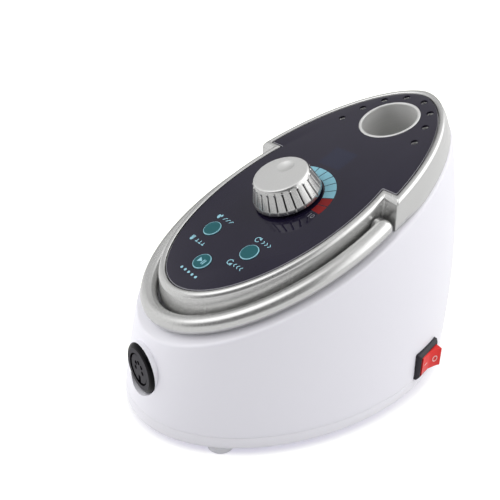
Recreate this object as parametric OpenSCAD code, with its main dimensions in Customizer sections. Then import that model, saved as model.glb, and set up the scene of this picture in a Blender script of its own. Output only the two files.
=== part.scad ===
// Desk nail drill control unit: an oval housing with a sloping control panel,
// a fold-up carry handle, a speed knob, three keys, a handpiece cup and bit holes.
// Millimetres, table at z = 0, user in front at -y, cup at the rear.

/* [Housing] */
// Reach of the housing's foot line in front of the origin
base_front = 97.5; // [93:0.1:103]
// Front reach at a quarter of the height
low_front = 92.5; // [90:0.1:95]
// Reach of the housing's foot line behind the origin
base_rear = 93.4; // [87:0.1:97]
// Half width of the housing at its foot line
base_half = 66.5; // [64:0.1:74]
// Front reach at half height
waist_front = 85.4; // [83:0.1:89]
// Rear reach at half height
waist_rear = 97.7; // [94:0.1:102]
// Half width at half height
waist_half = 60.2; // [58:0.1:64]
// Front reach where the flanks would meet the cup's height
top_front = 82.6; // [80:0.1:86]
// Rear reach at the cup's height
top_rear = 93.5; // [92:0.1:97]
// Half width at the cup's height
top_half = 43.5; // [42.5:0.1:47]
// Height of the cup's mouth above the foot line
body_h = 119.8; // [116:0.1:123]
// Wall thickness of the housing
wall = 2.6; // [2:0.1:3.4]
// Thickness of the ledge that carries the bezel and the resting handle
ledge_t = 2.6; // [2:0.1:3.4]

/* [Base] */
// Height of the base plate's visible edge
base_edge_h = 6.6; // [6:0.1:7]
// Thickness of the base plate's floor
base_t = 3; // [2.4:0.1:3.6]
// Height of the locating lip above the seam
lip_h = 4; // [2.5:0.1:4.6]
// Thickness of the locating lip
lip_t = 1.6; // [1.2:0.1:2]
// Free height of the rubber feet below the base
foot_h = 3.2; // [2.8:0.1:4]
// Radius of a rubber foot
foot_r = 6; // [5:0.1:7]
// Distance from the foot line to a foot's centre
foot_inset = 7.8; // [7.4:0.1:10]
// Width of a vent slot
vent_w = 3; // [2:0.1:4]
// Length of a vent slot
vent_len = 30; // [20:1:34]
// Number of vent slots
vent_count = 5; // [3:1:5]

/* [Control panel] */
// Slope of the panel above the table, in degrees
panel_slope = 22; // [20:0.5:24]
// Height of the panel's centre above the table
panel_z = 96.4; // [95:0.1:100]
// Place of the panel's centre along the unit
panel_y = -6.8; // [-8:0.1:-5]
// Half width of the panel's narrow front oval
front_half = 40.8; // [38:0.1:42]
// Half length of the front oval, along the slope
front_len = 72.2; // [69:0.1:74]
// Half width of the panel's wide rear oval
rear_half = 47.3; // [46:0.1:48]
// Half length of the rear oval, along the slope
rear_len = 97; // [95:0.1:98.5]
// Place of the step between the two ovals, up the slope
step_v = 26.3; // [24:0.1:28]
// Thickness of the panel
panel_t = 2; // [1.6:0.1:2.4]
// Gap between the panel and the bezel
panel_gap = 0.25; // [0.15:0.05:0.4]

/* [Bezel] */
// Width of the bezel's rim round the panel
rim_w = 3.4; // [3:0.1:3.8]
// Height of the rim above the panel
rim_rise = 0.6; // [0.4:0.1:1]
// Bevel on the rim's outer edge
rim_bevel = 1; // [0.5:0.1:1.4]
// Depth of the bezel below the panel's face
bezel_h = 13.5; // [13:0.1:14.5]
// Wall thickness of the bezel
bezel_wall = 2.4; // [2:0.1:2.8]
// Outward lean of the bezel's rear wall at its foot
bezel_draft = 1.6; // [1:0.1:1.8]
// Thickness of the deck under the panel
deck_t = 2; // [1.6:0.1:2.3]

/* [Carry handle] */
// Radius of the handle's bar
bar_r = 4.2; // [3.8:0.1:4.4]
// Gap between the bar and the bezel's wall
bar_gap = 0.9; // [0.6:0.1:1.2]
// Gap between the bar's round end and the step
bar_end_gap = 1.4; // [1:0.1:2]
// Gap between the resting bar and the ledge
bar_rest_gap = 0.3; // [0.2:0.05:0.5]
// Radius of the pivot pins
pin_r = 1.5; // [1.2:0.1:1.8]

/* [Speed knob] */
// Radius of the knob's foot
knob_foot_r = 17.2; // [16:0.1:18]
// Radius of the knob's top
knob_top_r = 13.6; // [12.5:0.1:14.5]
// Height of the knob's top above the panel
knob_h = 14; // [13:0.1:16]
// Gap between the knob and the panel
knob_lift = 1.6; // [1.2:0.1:2]
// Number of flutes round the knob
flute_count = 24; // [20:1:30]
// Radius of a flute
flute_r = 0.5; // [0.4:0.05:0.8]
// Direction of the first flute as photographed, from +x
flute_turn = 6; // [0:0.5:15]
// Radius of the finger dimple's rim
dimple_r = 4.4; // [3.5:0.1:5]
// Distance from the knob's axis to the dimple
dimple_out = 5.7; // [5:0.1:7]
// Direction of the dimple as photographed, from +x
dimple_turn = 115; // [0:1:360]
// Radius of the potentiometer's shaft
shaft_r = 3; // [2.5:0.1:3.1]

/* [Keys] */
// Radius of a key cap
key_r = 4.75; // [4.2:0.05:5]
// Height of a key cap above the panel
key_rise = 0.5; // [0.4:0.05:0.8]
// Travel of a key
key_travel = 0.5; // [0.3:0.05:0.6]
// Place of the standby key along the slope
standby_v = -54.7; // [-56:0.1:-52]
// Place of the two side keys along the slope
side_key_v = -37.6; // [-39:0.1:-34]
// Distance from the centre line to a side key
side_key_x = 15.45; // [13:0.05:17]
// Place of the speed display along the slope
display_v = 33.4; // [31:0.1:34]

/* [Handpiece cup and bit holes] */
// Place of the cup along the slope
cup_v = 71; // [70:0.1:72]
// Inner radius of the cup
cup_r = 14.5; // [13.5:0.1:15]
// Wall thickness of the cup
cup_wall = 0.8; // [0.6:0.1:1]
// Width of the cup's rim
cup_rim_w = 1.5; // [1.2:0.1:1.8]
// Depth of the cup below the panel
cup_depth = 42; // [38:0.5:46]
// Radius of a bit hole
bit_r = 1.7; // [1.3:0.05:1.9]
// Depth of a bit hole below the panel
bit_depth = 12; // [10:0.1:12]

/* [Handpiece socket] */
// Height of the socket's axis above the table
din_z = 30.6; // [30:0.05:33]
// Radius of the socket's flange
din_r = 12.6; // [12:0.1:13.5]
// How far the flange's face stands out of the housing at its axis
din_out = 1.3; // [1.2:0.05:2]
// Depth of the flange's seat behind the surface at its axis
din_seat = 0.65; // [0.6:0.05:1.2]
// Radius of the socket's insert
din_insert_r = 7.4; // [6.8:0.1:7.6]

/* [Power switch] */
// Place of the switch along the flank
switch_y = 35.3; // [30:0.1:38]
// Height of the switch's middle above the table
switch_z = 17.3; // [17.3:0.1:19]
// Length of the switch's bezel
switch_len = 21; // [20:0.1:22]
// Height of the switch's bezel
switch_high = 15; // [14.6:0.1:15.4]
// Thickness of the switch's bezel
switch_rim_t = 3; // [2.6:0.1:3.2]
// Tilt of the rocker either way, in degrees
rocker_tilt = 12; // [9:0.5:13]

/* [Rear connectors] */
// Height of the connector bay's middle above the table
bay_z = 33; // [31:0.5:37]
// Half width of the connector bay
bay_half = 21; // [21:0.1:23]
// Half height of the connector bay
bay_high = 12; // [10:0.1:13]
// Place of the mains inlet across the bay
inlet_x = -7.5; // [-8:0.1:-7]
// Place of the pedal jack across the bay
jack_x = 12.5; // [12:0.1:13]
// Inner radius of the pedal jack
jack_r = 3.25; // [3.2:0.05:3.3]

/* [Inside] */
// Height of the control board's top below the panel's face
board_drop = 10; // [9.6:0.1:10.6]
// Thickness of the circuit boards
board_t = 1.6; // [1.2:0.1:2]
// Half width of the control board
board_half = 33; // [30:0.5:34]
// Half length of the control board's front oval
board_len = 62; // [58:0.5:64]
// Width of the transformer's core
core_w = 66; // [60:1:72]
// Stack of the transformer's core
core_t = 32; // [28:1:36]
// Height of the transformer's core
core_h = 55; // [48:1:58]
// Place of the transformer along the unit
core_y = 18; // [14:0.5:22]
// Place of the power board along the unit
power_y = -44; // [-46:0.5:-42]
// Radius of the smoothing capacitor
cap_r = 9; // [7:0.5:10]
// Height of the smoothing capacitor
cap_h = 32; // [25:1:35]

/* [Hidden] */
$fn = 96;
// Clearances
slip = 0.1;
fit_gap = 0.3;
seam_gap = 0.2;
seat_gap = 0.05;
eps = 0.01;
// Far larger than the unit, for half spaces
big = 400;
// Facets of the lofted shells and of the handle
side_count = 72;
rise_count = 8;
inner_count = 4;
boss_rise_count = 5;
rear_points = 40;
front_points = 56;
bar_steps = 44;
bar_sides = 14;
cap_steps = 3;
// Levels of the housing
seam_z = foot_h + base_edge_h;
floor_z = foot_h + base_t;
base_bevel = 0.6;
// Opening inside the ledge, in plan from the panel's centre
opening_half = front_half - 6.8;
opening_front = front_len * cos(panel_slope) - 7;
opening_rear = rear_len * cos(panel_slope);
ledge_drop = bezel_h + seat_gap;
ledge_under = ledge_drop + ledge_t;
deck_under = panel_t + deck_t;
shelf_w = 3;
// Handle: the centre line follows the bezel's front wall, outside it
bar_half = front_half + rim_w + bar_gap + bar_r;
bar_len = front_len + rim_w + (bar_gap + bar_r) / cos(panel_slope);
bar_drop = ledge_drop - bar_rest_gap - bar_r;
step_face_v = step_v - rim_w;
pivot_up_v = step_face_v - (bar_r + bar_end_gap) / cos(panel_slope);
pivot_v = pivot_up_v - bar_drop * tan(panel_slope);
pivot_turn = asin(pivot_up_v / bar_len);
pivot_x = bar_half * cos(pivot_turn);
pivot_wall_x = front_wall_x(pivot_up_v);
pivot_boss_r = bar_r - 0.5;
pivot_boss_x = front_wall_x(pivot_up_v - 2 * pivot_boss_r) + fit_gap;
pad_depth = 3.2;
pad_r = 4;
pin_head_r = 2.8;
pin_head_t = 2;
// Keys
key_flange_r = key_r + 0.75;
key_hole_r = key_r + 0.2;
key_guide_r = key_flange_r + fit_gap;
key_flange_t = 1.1;
key_stem_r = 2.2;
tact_w = 6;
tact_h = 3.5;
tact_tip_h = 0.9;
tact_tip_r = 1.75;
key_stem_foot = board_drop - tact_h - tact_tip_h - key_travel - fit_gap;
// Knob and potentiometer
knob_v = -0.5;
bushing_r = shaft_r + 0.5;
bushing_rise = 1.8;
pot_r = 8.2;
pot_h = board_drop - deck_under - 1.6;
nut_t = 1.6;
nut_r = bushing_r + 2.2;
knob_band_h = 2.4;
knob_bowl_r = nut_r + 3;
knob_bowl_h = knob_lift + 2.4;
shaft_top = knob_h - 3;
shaft_flat = 1.2;
dimple_ball_r = 8;
// Bit holes on each side of the centre line: distance across and place up the slope
bit_places = [[25.7, 61.3], [21.9, 73.5], [15.9, 84.2], [6, 91]];
bit_wall = 1.5;
cup_rim_t = 0.8;
cup_floor_t = 1;
// Screws
screw_r = 1.4;
screw_head_r = 2.8;
screw_head_t = 2;
boss_r = 3.2;
board_boss_r = 3;
board_screw_r = 1.2;
board_boss_places = [[24, -40], [24, 34]];
bezel_boss_side_turn = -5;
bezel_boss_rear_turn = 32;
board_v = -4;
board_rear_v = 44;
display_w = 15;
display_len = 14;
// Base fixings
post_r = 4.5;
post_h = 34;
post_top = foot_h + post_h;
post_turns = [38, 142, 218, 322];
post_inset = wall + fit_gap + lip_t + 0.4 + post_r;
base_boss_r = 5;
base_boss_h = 3.2;
base_head_r = 3;
base_head_t = 2.2;
base_screw_grip = 9;
foot_turns = [53, 127, 233, 307];
foot_sink = 1;
// Handpiece socket
din_face_y = -front_at(din_z) - din_out;
din_seat_y = -front_at(din_z) + din_seat;
din_pad_t = 3;
din_pad_r = din_r + fit_gap + 2.4;
din_boss_r = din_r + 0.9;
din_barrel_r = din_insert_r + 1.2;
din_barrel_len = 16;
din_bevel = 1.5;
din_slant = 2.2;
din_nut_r = din_barrel_r + 3.5;
din_core_r = din_insert_r - 1.1;
din_step = 9;
din_face_sink = 0.4;
contact_r = 0.9;
contact_ring_r = 3.5;
contact_turns = [0, 45, 90, 135, 180];
// Power switch
switch_turn = flank_turn(switch_y, switch_z);
switch_sink = 1.1;
switch_back_x = flank_x(switch_y, switch_z) - switch_sink;
switch_cut_len = switch_len - 2;
switch_cut_high = switch_high - 2;
switch_deep = 15;
rocker_r = 8.2;
rocker_half_high = 5.2;
rocker_axis_x = switch_rim_t - 2;
rocker_dip = 2.2;
rocker_pin_r = 1.1;
// Rear connectors
bay_floor_y = rear_y(bay_half, bay_z - bay_high) - 0.8;
bay_wall = 2.6;
inlet_w = 19;
inlet_high = 10.8;
inlet_rim = 2;
inlet_rim_t = 1.8;
inlet_deep = 14;
inlet_socket_r = 4.2;
inlet_pitch = 8.8;
inlet_pin_r = 1.2;
jack_thread_r = jack_r + 1.5;
jack_body = 14;
jack_deep = 20;
jack_out = 4;
jack_nut_r = 6.6;
jack_nut_t = 2.2;
// Transformer
core_leg = core_w / 6;
window_h = core_w / 2;
coil_over = 9;
clamp_t = 1.2;
clamp_tab = 12;
// Power board
power_w = 56;
power_len = 40;
standoff_h = 10;
power_z = floor_z + standoff_h;
standoff_r = 3;
standoff_in = 4;
sink_w = 36;
sink_len = 12;
sink_h = 28;
fin_count = 7;
fin_gap = 3;

// Value at level s on a smooth curve through three stations
function station(a, m, b, s) = a * (1 - s) * (1 - 2 * s) + 4 * m * s * (1 - s) + b * s * (2 * s - 1);
// The same with one more station at a quarter of the height
function low_station(a, q, m, b, s) = a * (1 - 4 * s) * (1 - 2 * s) * (1 - s)
  + q * 64 / 3 * s * (s - 0.5) * (s - 1) - m * 16 * s * (s - 0.25) * (s - 1)
  + b * 8 / 3 * s * (s - 0.25) * (s - 0.5);
function level(z) = (z - foot_h) / body_h;
function front_at(z) = low_station(base_front, low_front, waist_front, top_front, level(z));
function rear_at(z) = station(base_rear, waist_rear, top_rear, level(z));
function half_at(z) = station(base_half, waist_half, top_half, level(z));
function mid_at(z) = (rear_at(z) - front_at(z)) / 2;
function reach_at(z) = (rear_at(z) + front_at(z)) / 2;
// Point of the housing's oval section at height z, moved inwards by inset
function flank(t, z, inset) =
  [(half_at(z) - inset) * cos(t), mid_at(z) + (reach_at(z) - inset) * sin(t), z];
function flank_x(y, z) = half_at(z) * sqrt(1 - pow((y - mid_at(z)) / reach_at(z), 2));
function flank_turn(y, z) =
  atan2((y - mid_at(z)) / pow(reach_at(z), 2), flank_x(y, z) / pow(half_at(z), 2));
function rear_y(x, z) = mid_at(z) + reach_at(z) * sqrt(1 - pow(x / half_at(z), 2));
// Height at y of the plane parallel to the panel, h above it
function slope_z(y, h) = panel_z + (y - panel_y) * tan(panel_slope) + h / cos(panel_slope);
// Point of the flank on that plane, found by repeated substitution
function flank_top(t, h, inset, z = panel_z, n = 14) =
  n == 0 ? flank(t, z, inset)
  : flank_top(t, h, inset, slope_z(flank(t, z, inset)[1], h), n - 1);
function opening_point(t, h) =
  let (y = panel_y + (sin(t) > 0 ? opening_rear : opening_front) * sin(t))
  [opening_half * cos(t), y, slope_z(y, h)];
// Outer face of the bezel's front wall, v up the slope
function front_wall_x(v) = (front_half + rim_w) * sqrt(1 - pow(v / (front_len + rim_w), 2));
function turns(n) = [for (i = [0 : n - 1]) i * 360 / n];
function flank_ring(z, inset) = [for (t = turns(side_count)) flank(t, z, inset)];
// Ring at share s of the way from height z up to the sloping plane h
function rise_ring(z, h, inset, s) =
  [for (t = turns(side_count)) flank(t, z + (flank_top(t, h, inset)[2] - z) * s, inset)];
// Outline of the panel: a narrow front oval and a wide rear oval behind the step, grown outwards
function panel_plan(grow, rear_extra = 0) =
  let (front = [front_half + grow, front_len + grow],
    rear = [rear_half + grow + rear_extra, rear_len + grow + rear_extra],
    step = step_v - grow,
    rear_turn = asin(step / rear[1]),
    front_turn = asin(step / front[1]))
  concat(
    [for (k = [0 : rear_points]) let (t = rear_turn + (180 - 2 * rear_turn) * k / rear_points)
      [rear[0] * cos(t), rear[1] * sin(t)]],
    [for (k = [0 : front_points]) let (t = 180 - front_turn + (180 + 2 * front_turn) * k / front_points)
      [front[0] * cos(t), front[1] * sin(t)]]);
// The outline at height h above the panel, shifted so that walls stand plumb
function panel_ring(h, grow, rear_extra = 0) =
  [for (p = panel_plan(grow, rear_extra)) [p[0], p[1] + h * tan(panel_slope), h]];
function opening_ring(h) = [for (t = turns(side_count)) opening_point(t, h)];
function mirror_x(list) = [for (p = list) each [p, [-p[0], p[1]]]];

// Side triangles between neighbouring rings of k points
function band(i, j, k) = [for (p = [0 : k - 1]) let (q = (p + 1) % k)
  each [[i * k + p, j * k + p, j * k + q], [i * k + p, j * k + q, i * k + q]]];
// Closed tube: rings joined in a loop
module tube(rings) {
  m = len(rings);
  k = len(rings[0]);
  polyhedron([for (r = rings) each r], [for (i = [0 : m - 1]) each band(i, (i + 1) % m, k)]);
}
// Solid: rings joined in a row, with flat ends
module loft(rings) {
  m = len(rings);
  k = len(rings[0]);
  ends = [[for (p = [0 : k - 1]) p], [for (p = [k - 1 : -1 : 0]) (m - 1) * k + p]];
  polyhedron([for (r = rings) each r], concat(ends, [for (i = [0 : m - 2]) each band(i, i + 1, k)]));
}

// Frame on the panel: x across, y up the slope, z out of the face
module on_panel(x = 0, v = 0, h = 0) {
  translate([0, panel_y, panel_z]) rotate([panel_slope, 0, 0]) translate([x, v, h]) children();
}
module on_switch() {
  translate([switch_back_x, switch_y, switch_z]) rotate([0, 0, switch_turn]) children();
}
// Frame on the socket's axis: z points out of the front
module on_socket() {
  translate([0, din_seat_y, din_z]) rotate([90, 0, 0]) children();
}
module oval(half, len) {
  scale([half, len]) circle(r = 1);
}
module rod(r, len) {
  cylinder(h = len, r = r);
}
module bar_x(r, x0, x1) {
  translate([x0, 0, 0]) rotate([0, 90, 0]) cylinder(h = x1 - x0, r = r);
}
module pan_screw(r, len, head_r, head_t) {
  rod(r, len);
  translate([0, 0, -head_t]) rod(head_r, head_t);
}
module block(size) {
  translate([-size[0] / 2, -size[1] / 2, 0]) cube(size);
}

module housing_shell() {
  tube(concat(
    [for (k = [0 : rise_count]) rise_ring(seam_z, -ledge_drop, 0, k / rise_count)],
    [opening_ring(-ledge_drop), opening_ring(-ledge_under)],
    [for (k = [inner_count : -1 : 0]) rise_ring(seam_z, -ledge_under, wall, k / inner_count)]));
}
// Inside of the flank, to trim bosses that grow from the wall
module housing_core() {
  loft([for (k = [0 : boss_rise_count]) rise_ring(seam_z, -ledge_under, wall / 3, k / boss_rise_count)]);
}
function post_place(t) = flank(t, post_top, post_inset);
module post_stock(t) {
  p = post_place(t);
  bottom = floor_z + base_boss_h + seam_gap;
  rib_z = seam_z + lip_h + fit_gap;
  translate([p[0], p[1], bottom]) rod(post_r, post_top - bottom);
  translate([p[0], p[1], rib_z]) rotate([0, 0, t])
    translate([0, -wall / 2, 0]) cube([post_inset * 2, wall, post_top - rib_z]);
}
module bay_stock() {
  translate([-bay_half - bay_wall, bay_floor_y - bay_wall, bay_z - bay_high - bay_wall])
    cube([2 * (bay_half + bay_wall), big, 2 * (bay_high + bay_wall)]);
}
module bezel_boss_places() {
  inner_front = [front_half + rim_w - bezel_wall, front_len + rim_w - bezel_wall];
  inner_rear = [rear_half + rim_w - bezel_wall, rear_len + rim_w - bezel_wall];
  opening_back = opening_rear / cos(panel_slope);
  opening_fore = opening_front / cos(panel_slope);
  lean = bezel_h * tan(panel_slope);
  for (s = [-1, 1]) {
    translate([s * (opening_half + inner_front[0]) / 2 * cos(bezel_boss_side_turn),
      (opening_fore + inner_front[1]) / 2 * sin(bezel_boss_side_turn) - lean, 0]) children();
    translate([s * (opening_half + inner_rear[0]) / 2 * cos(bezel_boss_rear_turn),
      (opening_back + inner_rear[1]) / 2 * sin(bezel_boss_rear_turn) - lean, 0]) children();
  }
}

module main_housing() {
  color("white") difference() {
    union() {
      housing_shell();
      on_socket() translate([0, 0, -din_pad_t]) rod(din_boss_r, din_pad_t);
      intersection() {
        housing_core();
        union() {
          for (t = post_turns) post_stock(t);
          on_socket() translate([0, 0, -din_pad_t]) rod(din_pad_r, big / 8);
          on_switch() translate([-wall, 0, -switch_high / 2 - wall])
            translate([0, -switch_len / 2 - wall, 0]) cube([2 * wall, switch_len + 2 * wall, switch_high + 2 * wall]);
          bay_stock();
        }
      }
    }
    for (t = post_turns) translate(post_place(t)) translate([0, 0, -post_top])
      rod(screw_r + slip, post_top - wall);
    on_socket() rod(din_r + fit_gap, big / 8);
    on_socket() translate([0, 0, -big / 8 - din_pad_t]) rod(din_nut_r + fit_gap, big / 8);
    on_socket() translate([0, 0, -big / 8]) rod(din_barrel_r + fit_gap, big / 4);
    on_switch() translate([0, -switch_len / 2 - fit_gap, -switch_high / 2 - fit_gap])
      cube([big / 8, switch_len + 2 * fit_gap, switch_high + 2 * fit_gap]);
    on_switch() translate([-big / 16, -switch_cut_len / 2 - slip, -switch_cut_high / 2 - slip])
      cube([big / 8, switch_cut_len + 2 * slip, switch_cut_high + 2 * slip]);
    translate([-bay_half, bay_floor_y, bay_z - bay_high]) cube([2 * bay_half, big / 8, 2 * bay_high]);
    translate([inlet_x - inlet_w / 2 - slip, bay_floor_y - big / 16, bay_z - inlet_high / 2 - slip])
      cube([inlet_w + 2 * slip, big / 8, inlet_high + 2 * slip]);
    translate([jack_x, bay_floor_y + big / 16, bay_z]) rotate([90, 0, 0])
      rod(jack_thread_r + slip, big / 8);
    on_panel(h = -ledge_under - eps) bezel_boss_places() rod(screw_r + fit_gap, ledge_t + 2 * eps);
    on_panel(v = cup_v, h = -cup_depth - cup_floor_t - fit_gap)
      rod(cup_r + cup_wall + fit_gap, cup_depth + cup_floor_t + fit_gap);
  }
}

module base_plate() {
  lip_out = wall + fit_gap;
  lip_in = lip_out + lip_t;
  color("whitesmoke") difference() {
    union() {
      loft([flank_ring(foot_h, base_bevel), flank_ring(foot_h + base_bevel, 0),
        flank_ring(seam_z - seam_gap, 0), flank_ring(seam_z - seam_gap, lip_out),
        flank_ring(seam_z + lip_h, lip_out), flank_ring(seam_z + lip_h, lip_in),
        flank_ring(floor_z, lip_in)]);
      for (t = post_turns) translate([post_place(t)[0], post_place(t)[1], floor_z - eps])
        rod(base_boss_r, base_boss_h + eps);
      translate([0, power_y, floor_z - eps]) standoff_places() rod(standoff_r, power_z - floor_z + eps);
    }
    for (t = post_turns) translate([post_place(t)[0], post_place(t)[1], foot_h - eps]) {
      rod(base_head_r + fit_gap, base_boss_h + eps);
      rod(screw_r + slip, big / 8);
    }
    for (t = foot_turns) translate(flank(t, foot_h, foot_inset)) translate([0, 0, -eps])
      rod(foot_r + slip, foot_sink + eps);
    for (i = [0 : vent_count - 1])
      translate([(i - (vent_count - 1) / 2) * (vent_w * 7 / 3), power_y, 0])
        block([vent_w, vent_len, big / 8]);
    translate([0, power_y, floor_z]) standoff_places() rod(board_screw_r + slip, power_z);
    for (s = [-1, 1]) translate([s * (core_w + clamp_tab) / 2, core_y, floor_z - base_t + foot_sink])
      rod(screw_r + slip, base_t);
    on_switch() translate([-switch_deep - wall, -switch_len / 2 - 2 * wall, -switch_z + seam_z])
      cube([switch_deep + wall, switch_len + 4 * wall, switch_high + wall]);
  }
}

// Plumb prism on the panel's outline between two heights
module panel_prism(h0, h1, grow) {
  intersection() {
    translate([0, panel_y, 0]) linear_extrude(big / 2)
      polygon([for (p = panel_plan(grow)) [p[0], p[1] * cos(panel_slope)]]);
    on_panel(h = h0) block([big, big, h1 - h0]);
  }
}
// Rim and wall in one skin, with a shelf inside that carries the deck
module bezel_body() {
  hollow = rim_w - bezel_wall;
  on_panel() tube([panel_ring(-bezel_h, rim_w, bezel_draft), panel_ring(rim_rise - rim_bevel, rim_w),
    panel_ring(rim_rise, rim_w - rim_bevel), panel_ring(rim_rise, 0), panel_ring(-panel_t, 0),
    panel_ring(-panel_t, -shelf_w), panel_ring(-deck_under, -shelf_w), panel_ring(-deck_under, hollow),
    panel_ring(-bezel_h, hollow)]);
  panel_prism(-deck_under + slip, -panel_t - slip, -shelf_w / 2);
}
module key_places() {
  translate([0, standby_v, 0]) children();
  for (s = [-1, 1]) translate([s * side_key_x, side_key_v, 0]) children();
}
module pivot_places() {
  for (s = [0, 1]) on_panel() mirror([s, 0, 0]) translate([0, pivot_v, -bar_drop]) children();
}

module top_bezel() {
  color("silver") difference() {
    union() {
      bezel_body();
      for (p = mirror_x(bit_places)) on_panel(p[0], p[1], -bit_depth - 1)
        rod(bit_r + bit_wall, bit_depth + 1 - panel_t - deck_t / 2);
      for (p = mirror_x(board_boss_places)) on_panel(p[0], p[1], -board_drop)
        rod(board_boss_r, board_drop - panel_t - deck_t / 2);
      on_panel(h = -bezel_h) bezel_boss_places() rod(boss_r, bezel_h - panel_t - deck_t / 2);
      pivot_places() bar_x(pad_r, pivot_wall_x - bezel_wall - pad_depth, pivot_wall_x - bezel_wall / 2);
    }
    for (p = mirror_x(bit_places)) on_panel(p[0], p[1], -bit_depth) rod(bit_r, bit_depth);
    for (p = mirror_x(board_boss_places)) on_panel(p[0], p[1], -board_drop - eps)
      rod(board_screw_r + slip, board_drop - deck_under);
    on_panel(h = -bezel_h - eps) bezel_boss_places() rod(screw_r + slip, bezel_h - deck_under);
    pivot_places() bar_x(pin_r + 2 * slip, pivot_wall_x - big / 16, pivot_wall_x + big / 16);
    on_panel(v = cup_v, h = -big / 16) rod(cup_r + cup_wall + fit_gap, big / 8);
    on_panel(v = knob_v, h = -deck_under - eps) rod(bushing_r + slip, deck_under);
    on_panel(h = -deck_under - eps) key_places() rod(key_guide_r, deck_under);
    on_panel(v = display_v, h = -deck_under - eps)
      block([display_w + 2 * fit_gap, display_len + 2 * fit_gap, deck_under]);
  }
}

module control_panel() {
  color("#2b2a33") difference() {
    panel_prism(-panel_t, 0, -panel_gap);
    on_panel(v = cup_v, h = -2 * panel_t) rod(cup_r + cup_wall + fit_gap, 4 * panel_t);
    on_panel(v = knob_v, h = -2 * panel_t) rod(bushing_r + slip, 4 * panel_t);
    on_panel(h = -2 * panel_t) key_places() rod(key_hole_r, 4 * panel_t);
    for (p = mirror_x(bit_places)) on_panel(p[0], p[1], -2 * panel_t) rod(bit_r, 4 * panel_t);
  }
}

module handpiece_cup() {
  color("silver") on_panel(v = cup_v) rotate_extrude() polygon([
    [0, -cup_depth - cup_floor_t], [cup_r + cup_wall - cup_floor_t, -cup_depth - cup_floor_t],
    [cup_r + cup_wall, -cup_depth], [cup_r + cup_wall, 0], [cup_r + cup_rim_w, 0],
    [cup_r + cup_rim_w, cup_rim_t / 2], [cup_r + cup_rim_w - cup_rim_t / 2, cup_rim_t], [cup_r, cup_rim_t],
    [cup_r, -cup_depth], [0, -cup_depth]]);
}

// Centre of the bar's section at turn t, in the panel's frame
function bar_point(t) =
  [bar_half * cos(t), bar_len * sin(t) - bar_drop * tan(panel_slope), -bar_drop];
function bar_along(t) =
  let (d = [-bar_half * sin(t), bar_len * cos(t)]) d / norm(d);
// Ring of the bar at turn t, moved by shift along it, with radius r
function bar_ring(t, shift, r) =
  let (c = bar_point(t), d = bar_along(t))
  [for (a = turns(bar_sides)) [c[0] + d[0] * shift - d[1] * r * cos(a),
    c[1] + d[1] * shift + d[0] * r * cos(a), c[2] + r * sin(a)]];
module handle_bar() {
  first = -180 - pivot_turn;
  last = pivot_turn;
  loft(concat(
    [for (k = [0 : cap_steps - 1]) let (a = 90 * (k + 0.4) / cap_steps)
      bar_ring(first, -bar_r * cos(a), bar_r * sin(a))],
    [for (k = [0 : bar_steps]) bar_ring(first + (last - first) * k / bar_steps, 0, bar_r)],
    [for (k = [cap_steps - 1 : -1 : 0]) let (a = 90 * (k + 0.4) / cap_steps)
      bar_ring(last, bar_r * cos(a), bar_r * sin(a))]));
}
module carry_handle() {
  color("silver") difference() {
    union() {
      on_panel() handle_bar();
      pivot_places() bar_x(pivot_boss_r, pivot_boss_x, pivot_x);
    }
    pivot_places() bar_x(pin_r + slip, pivot_wall_x - bar_r, pivot_x);
  }
}
module handle_pins() {
  head_x = pivot_wall_x - bezel_wall - pad_depth - fit_gap;
  color("gray") pivot_places() {
    bar_x(pin_r, head_x, pivot_x - slip);
    bar_x(pin_head_r, head_x - pin_head_t, head_x);
  }
}

module knob_side(inset) {
  rotate_extrude() polygon([[0, knob_lift], [knob_foot_r - inset, knob_lift],
    [knob_foot_r - inset, knob_lift + knob_band_h], [knob_top_r + 0.3 - inset, knob_h - 0.9],
    [knob_top_r - 0.8 - inset, knob_h], [0, knob_h]]);
}
module knob_flutes() {
  low = [knob_foot_r, knob_lift + knob_band_h + 0.8];
  high = [knob_top_r + 0.3, knob_h - 1.6];
  lean = atan2(low[0] - high[0], high[1] - low[1]);
  for (t = turns(flute_count)) rotate([0, 0, t + flute_turn]) translate([low[0] - 0.1, 0, low[1]])
    rotate([0, -lean, 0]) {
      rod(flute_r, norm(high - low));
      translate([0, 0, norm(high - low)]) sphere(r = flute_r);
    }
}
module shaft_section(grow) {
  intersection() {
    circle(r = shaft_r + grow);
    translate([-big / 2, -big / 2]) square([big, big / 2 + shaft_r - shaft_flat + grow]);
  }
}
module speed_knob() {
  dimple_up = sqrt(pow(dimple_ball_r, 2) - pow(dimple_r, 2));
  color("gainsboro") on_panel(v = knob_v) difference() {
    knob_side(0);
    knob_flutes();
    translate([0, 0, knob_lift - eps]) rod(knob_bowl_r, knob_bowl_h - knob_lift);
    translate([0, 0, knob_lift]) linear_extrude(shaft_top - knob_lift + slip) shaft_section(slip);
    rotate([0, 0, dimple_turn]) translate([dimple_out, 0, knob_h + dimple_up]) sphere(r = dimple_ball_r);
  }
}
module pot_shaft() {
  color("gray") on_panel(v = knob_v) {
    translate([0, 0, -board_drop + 1]) rod(shaft_r, board_drop - 1 + bushing_rise);
    translate([0, 0, bushing_rise]) linear_extrude(shaft_top - bushing_rise) shaft_section(0);
  }
}
module potentiometer() {
  color("darkseagreen") on_panel(v = knob_v) difference() {
    union() {
      translate([0, 0, -board_drop]) rod(pot_r, pot_h);
      translate([0, 0, -board_drop]) rod(bushing_r, board_drop + bushing_rise);
    }
    translate([0, 0, -board_drop + 1 - slip]) rod(shaft_r + slip, board_drop + big / 8);
  }
}
module pot_nut() {
  color("lightgray") on_panel(v = knob_v) difference() {
    cylinder(h = nut_t, r = nut_r, $fn = 6);
    translate([0, 0, -eps]) rod(bushing_r + slip, nut_t + 2 * eps);
  }
}

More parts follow.
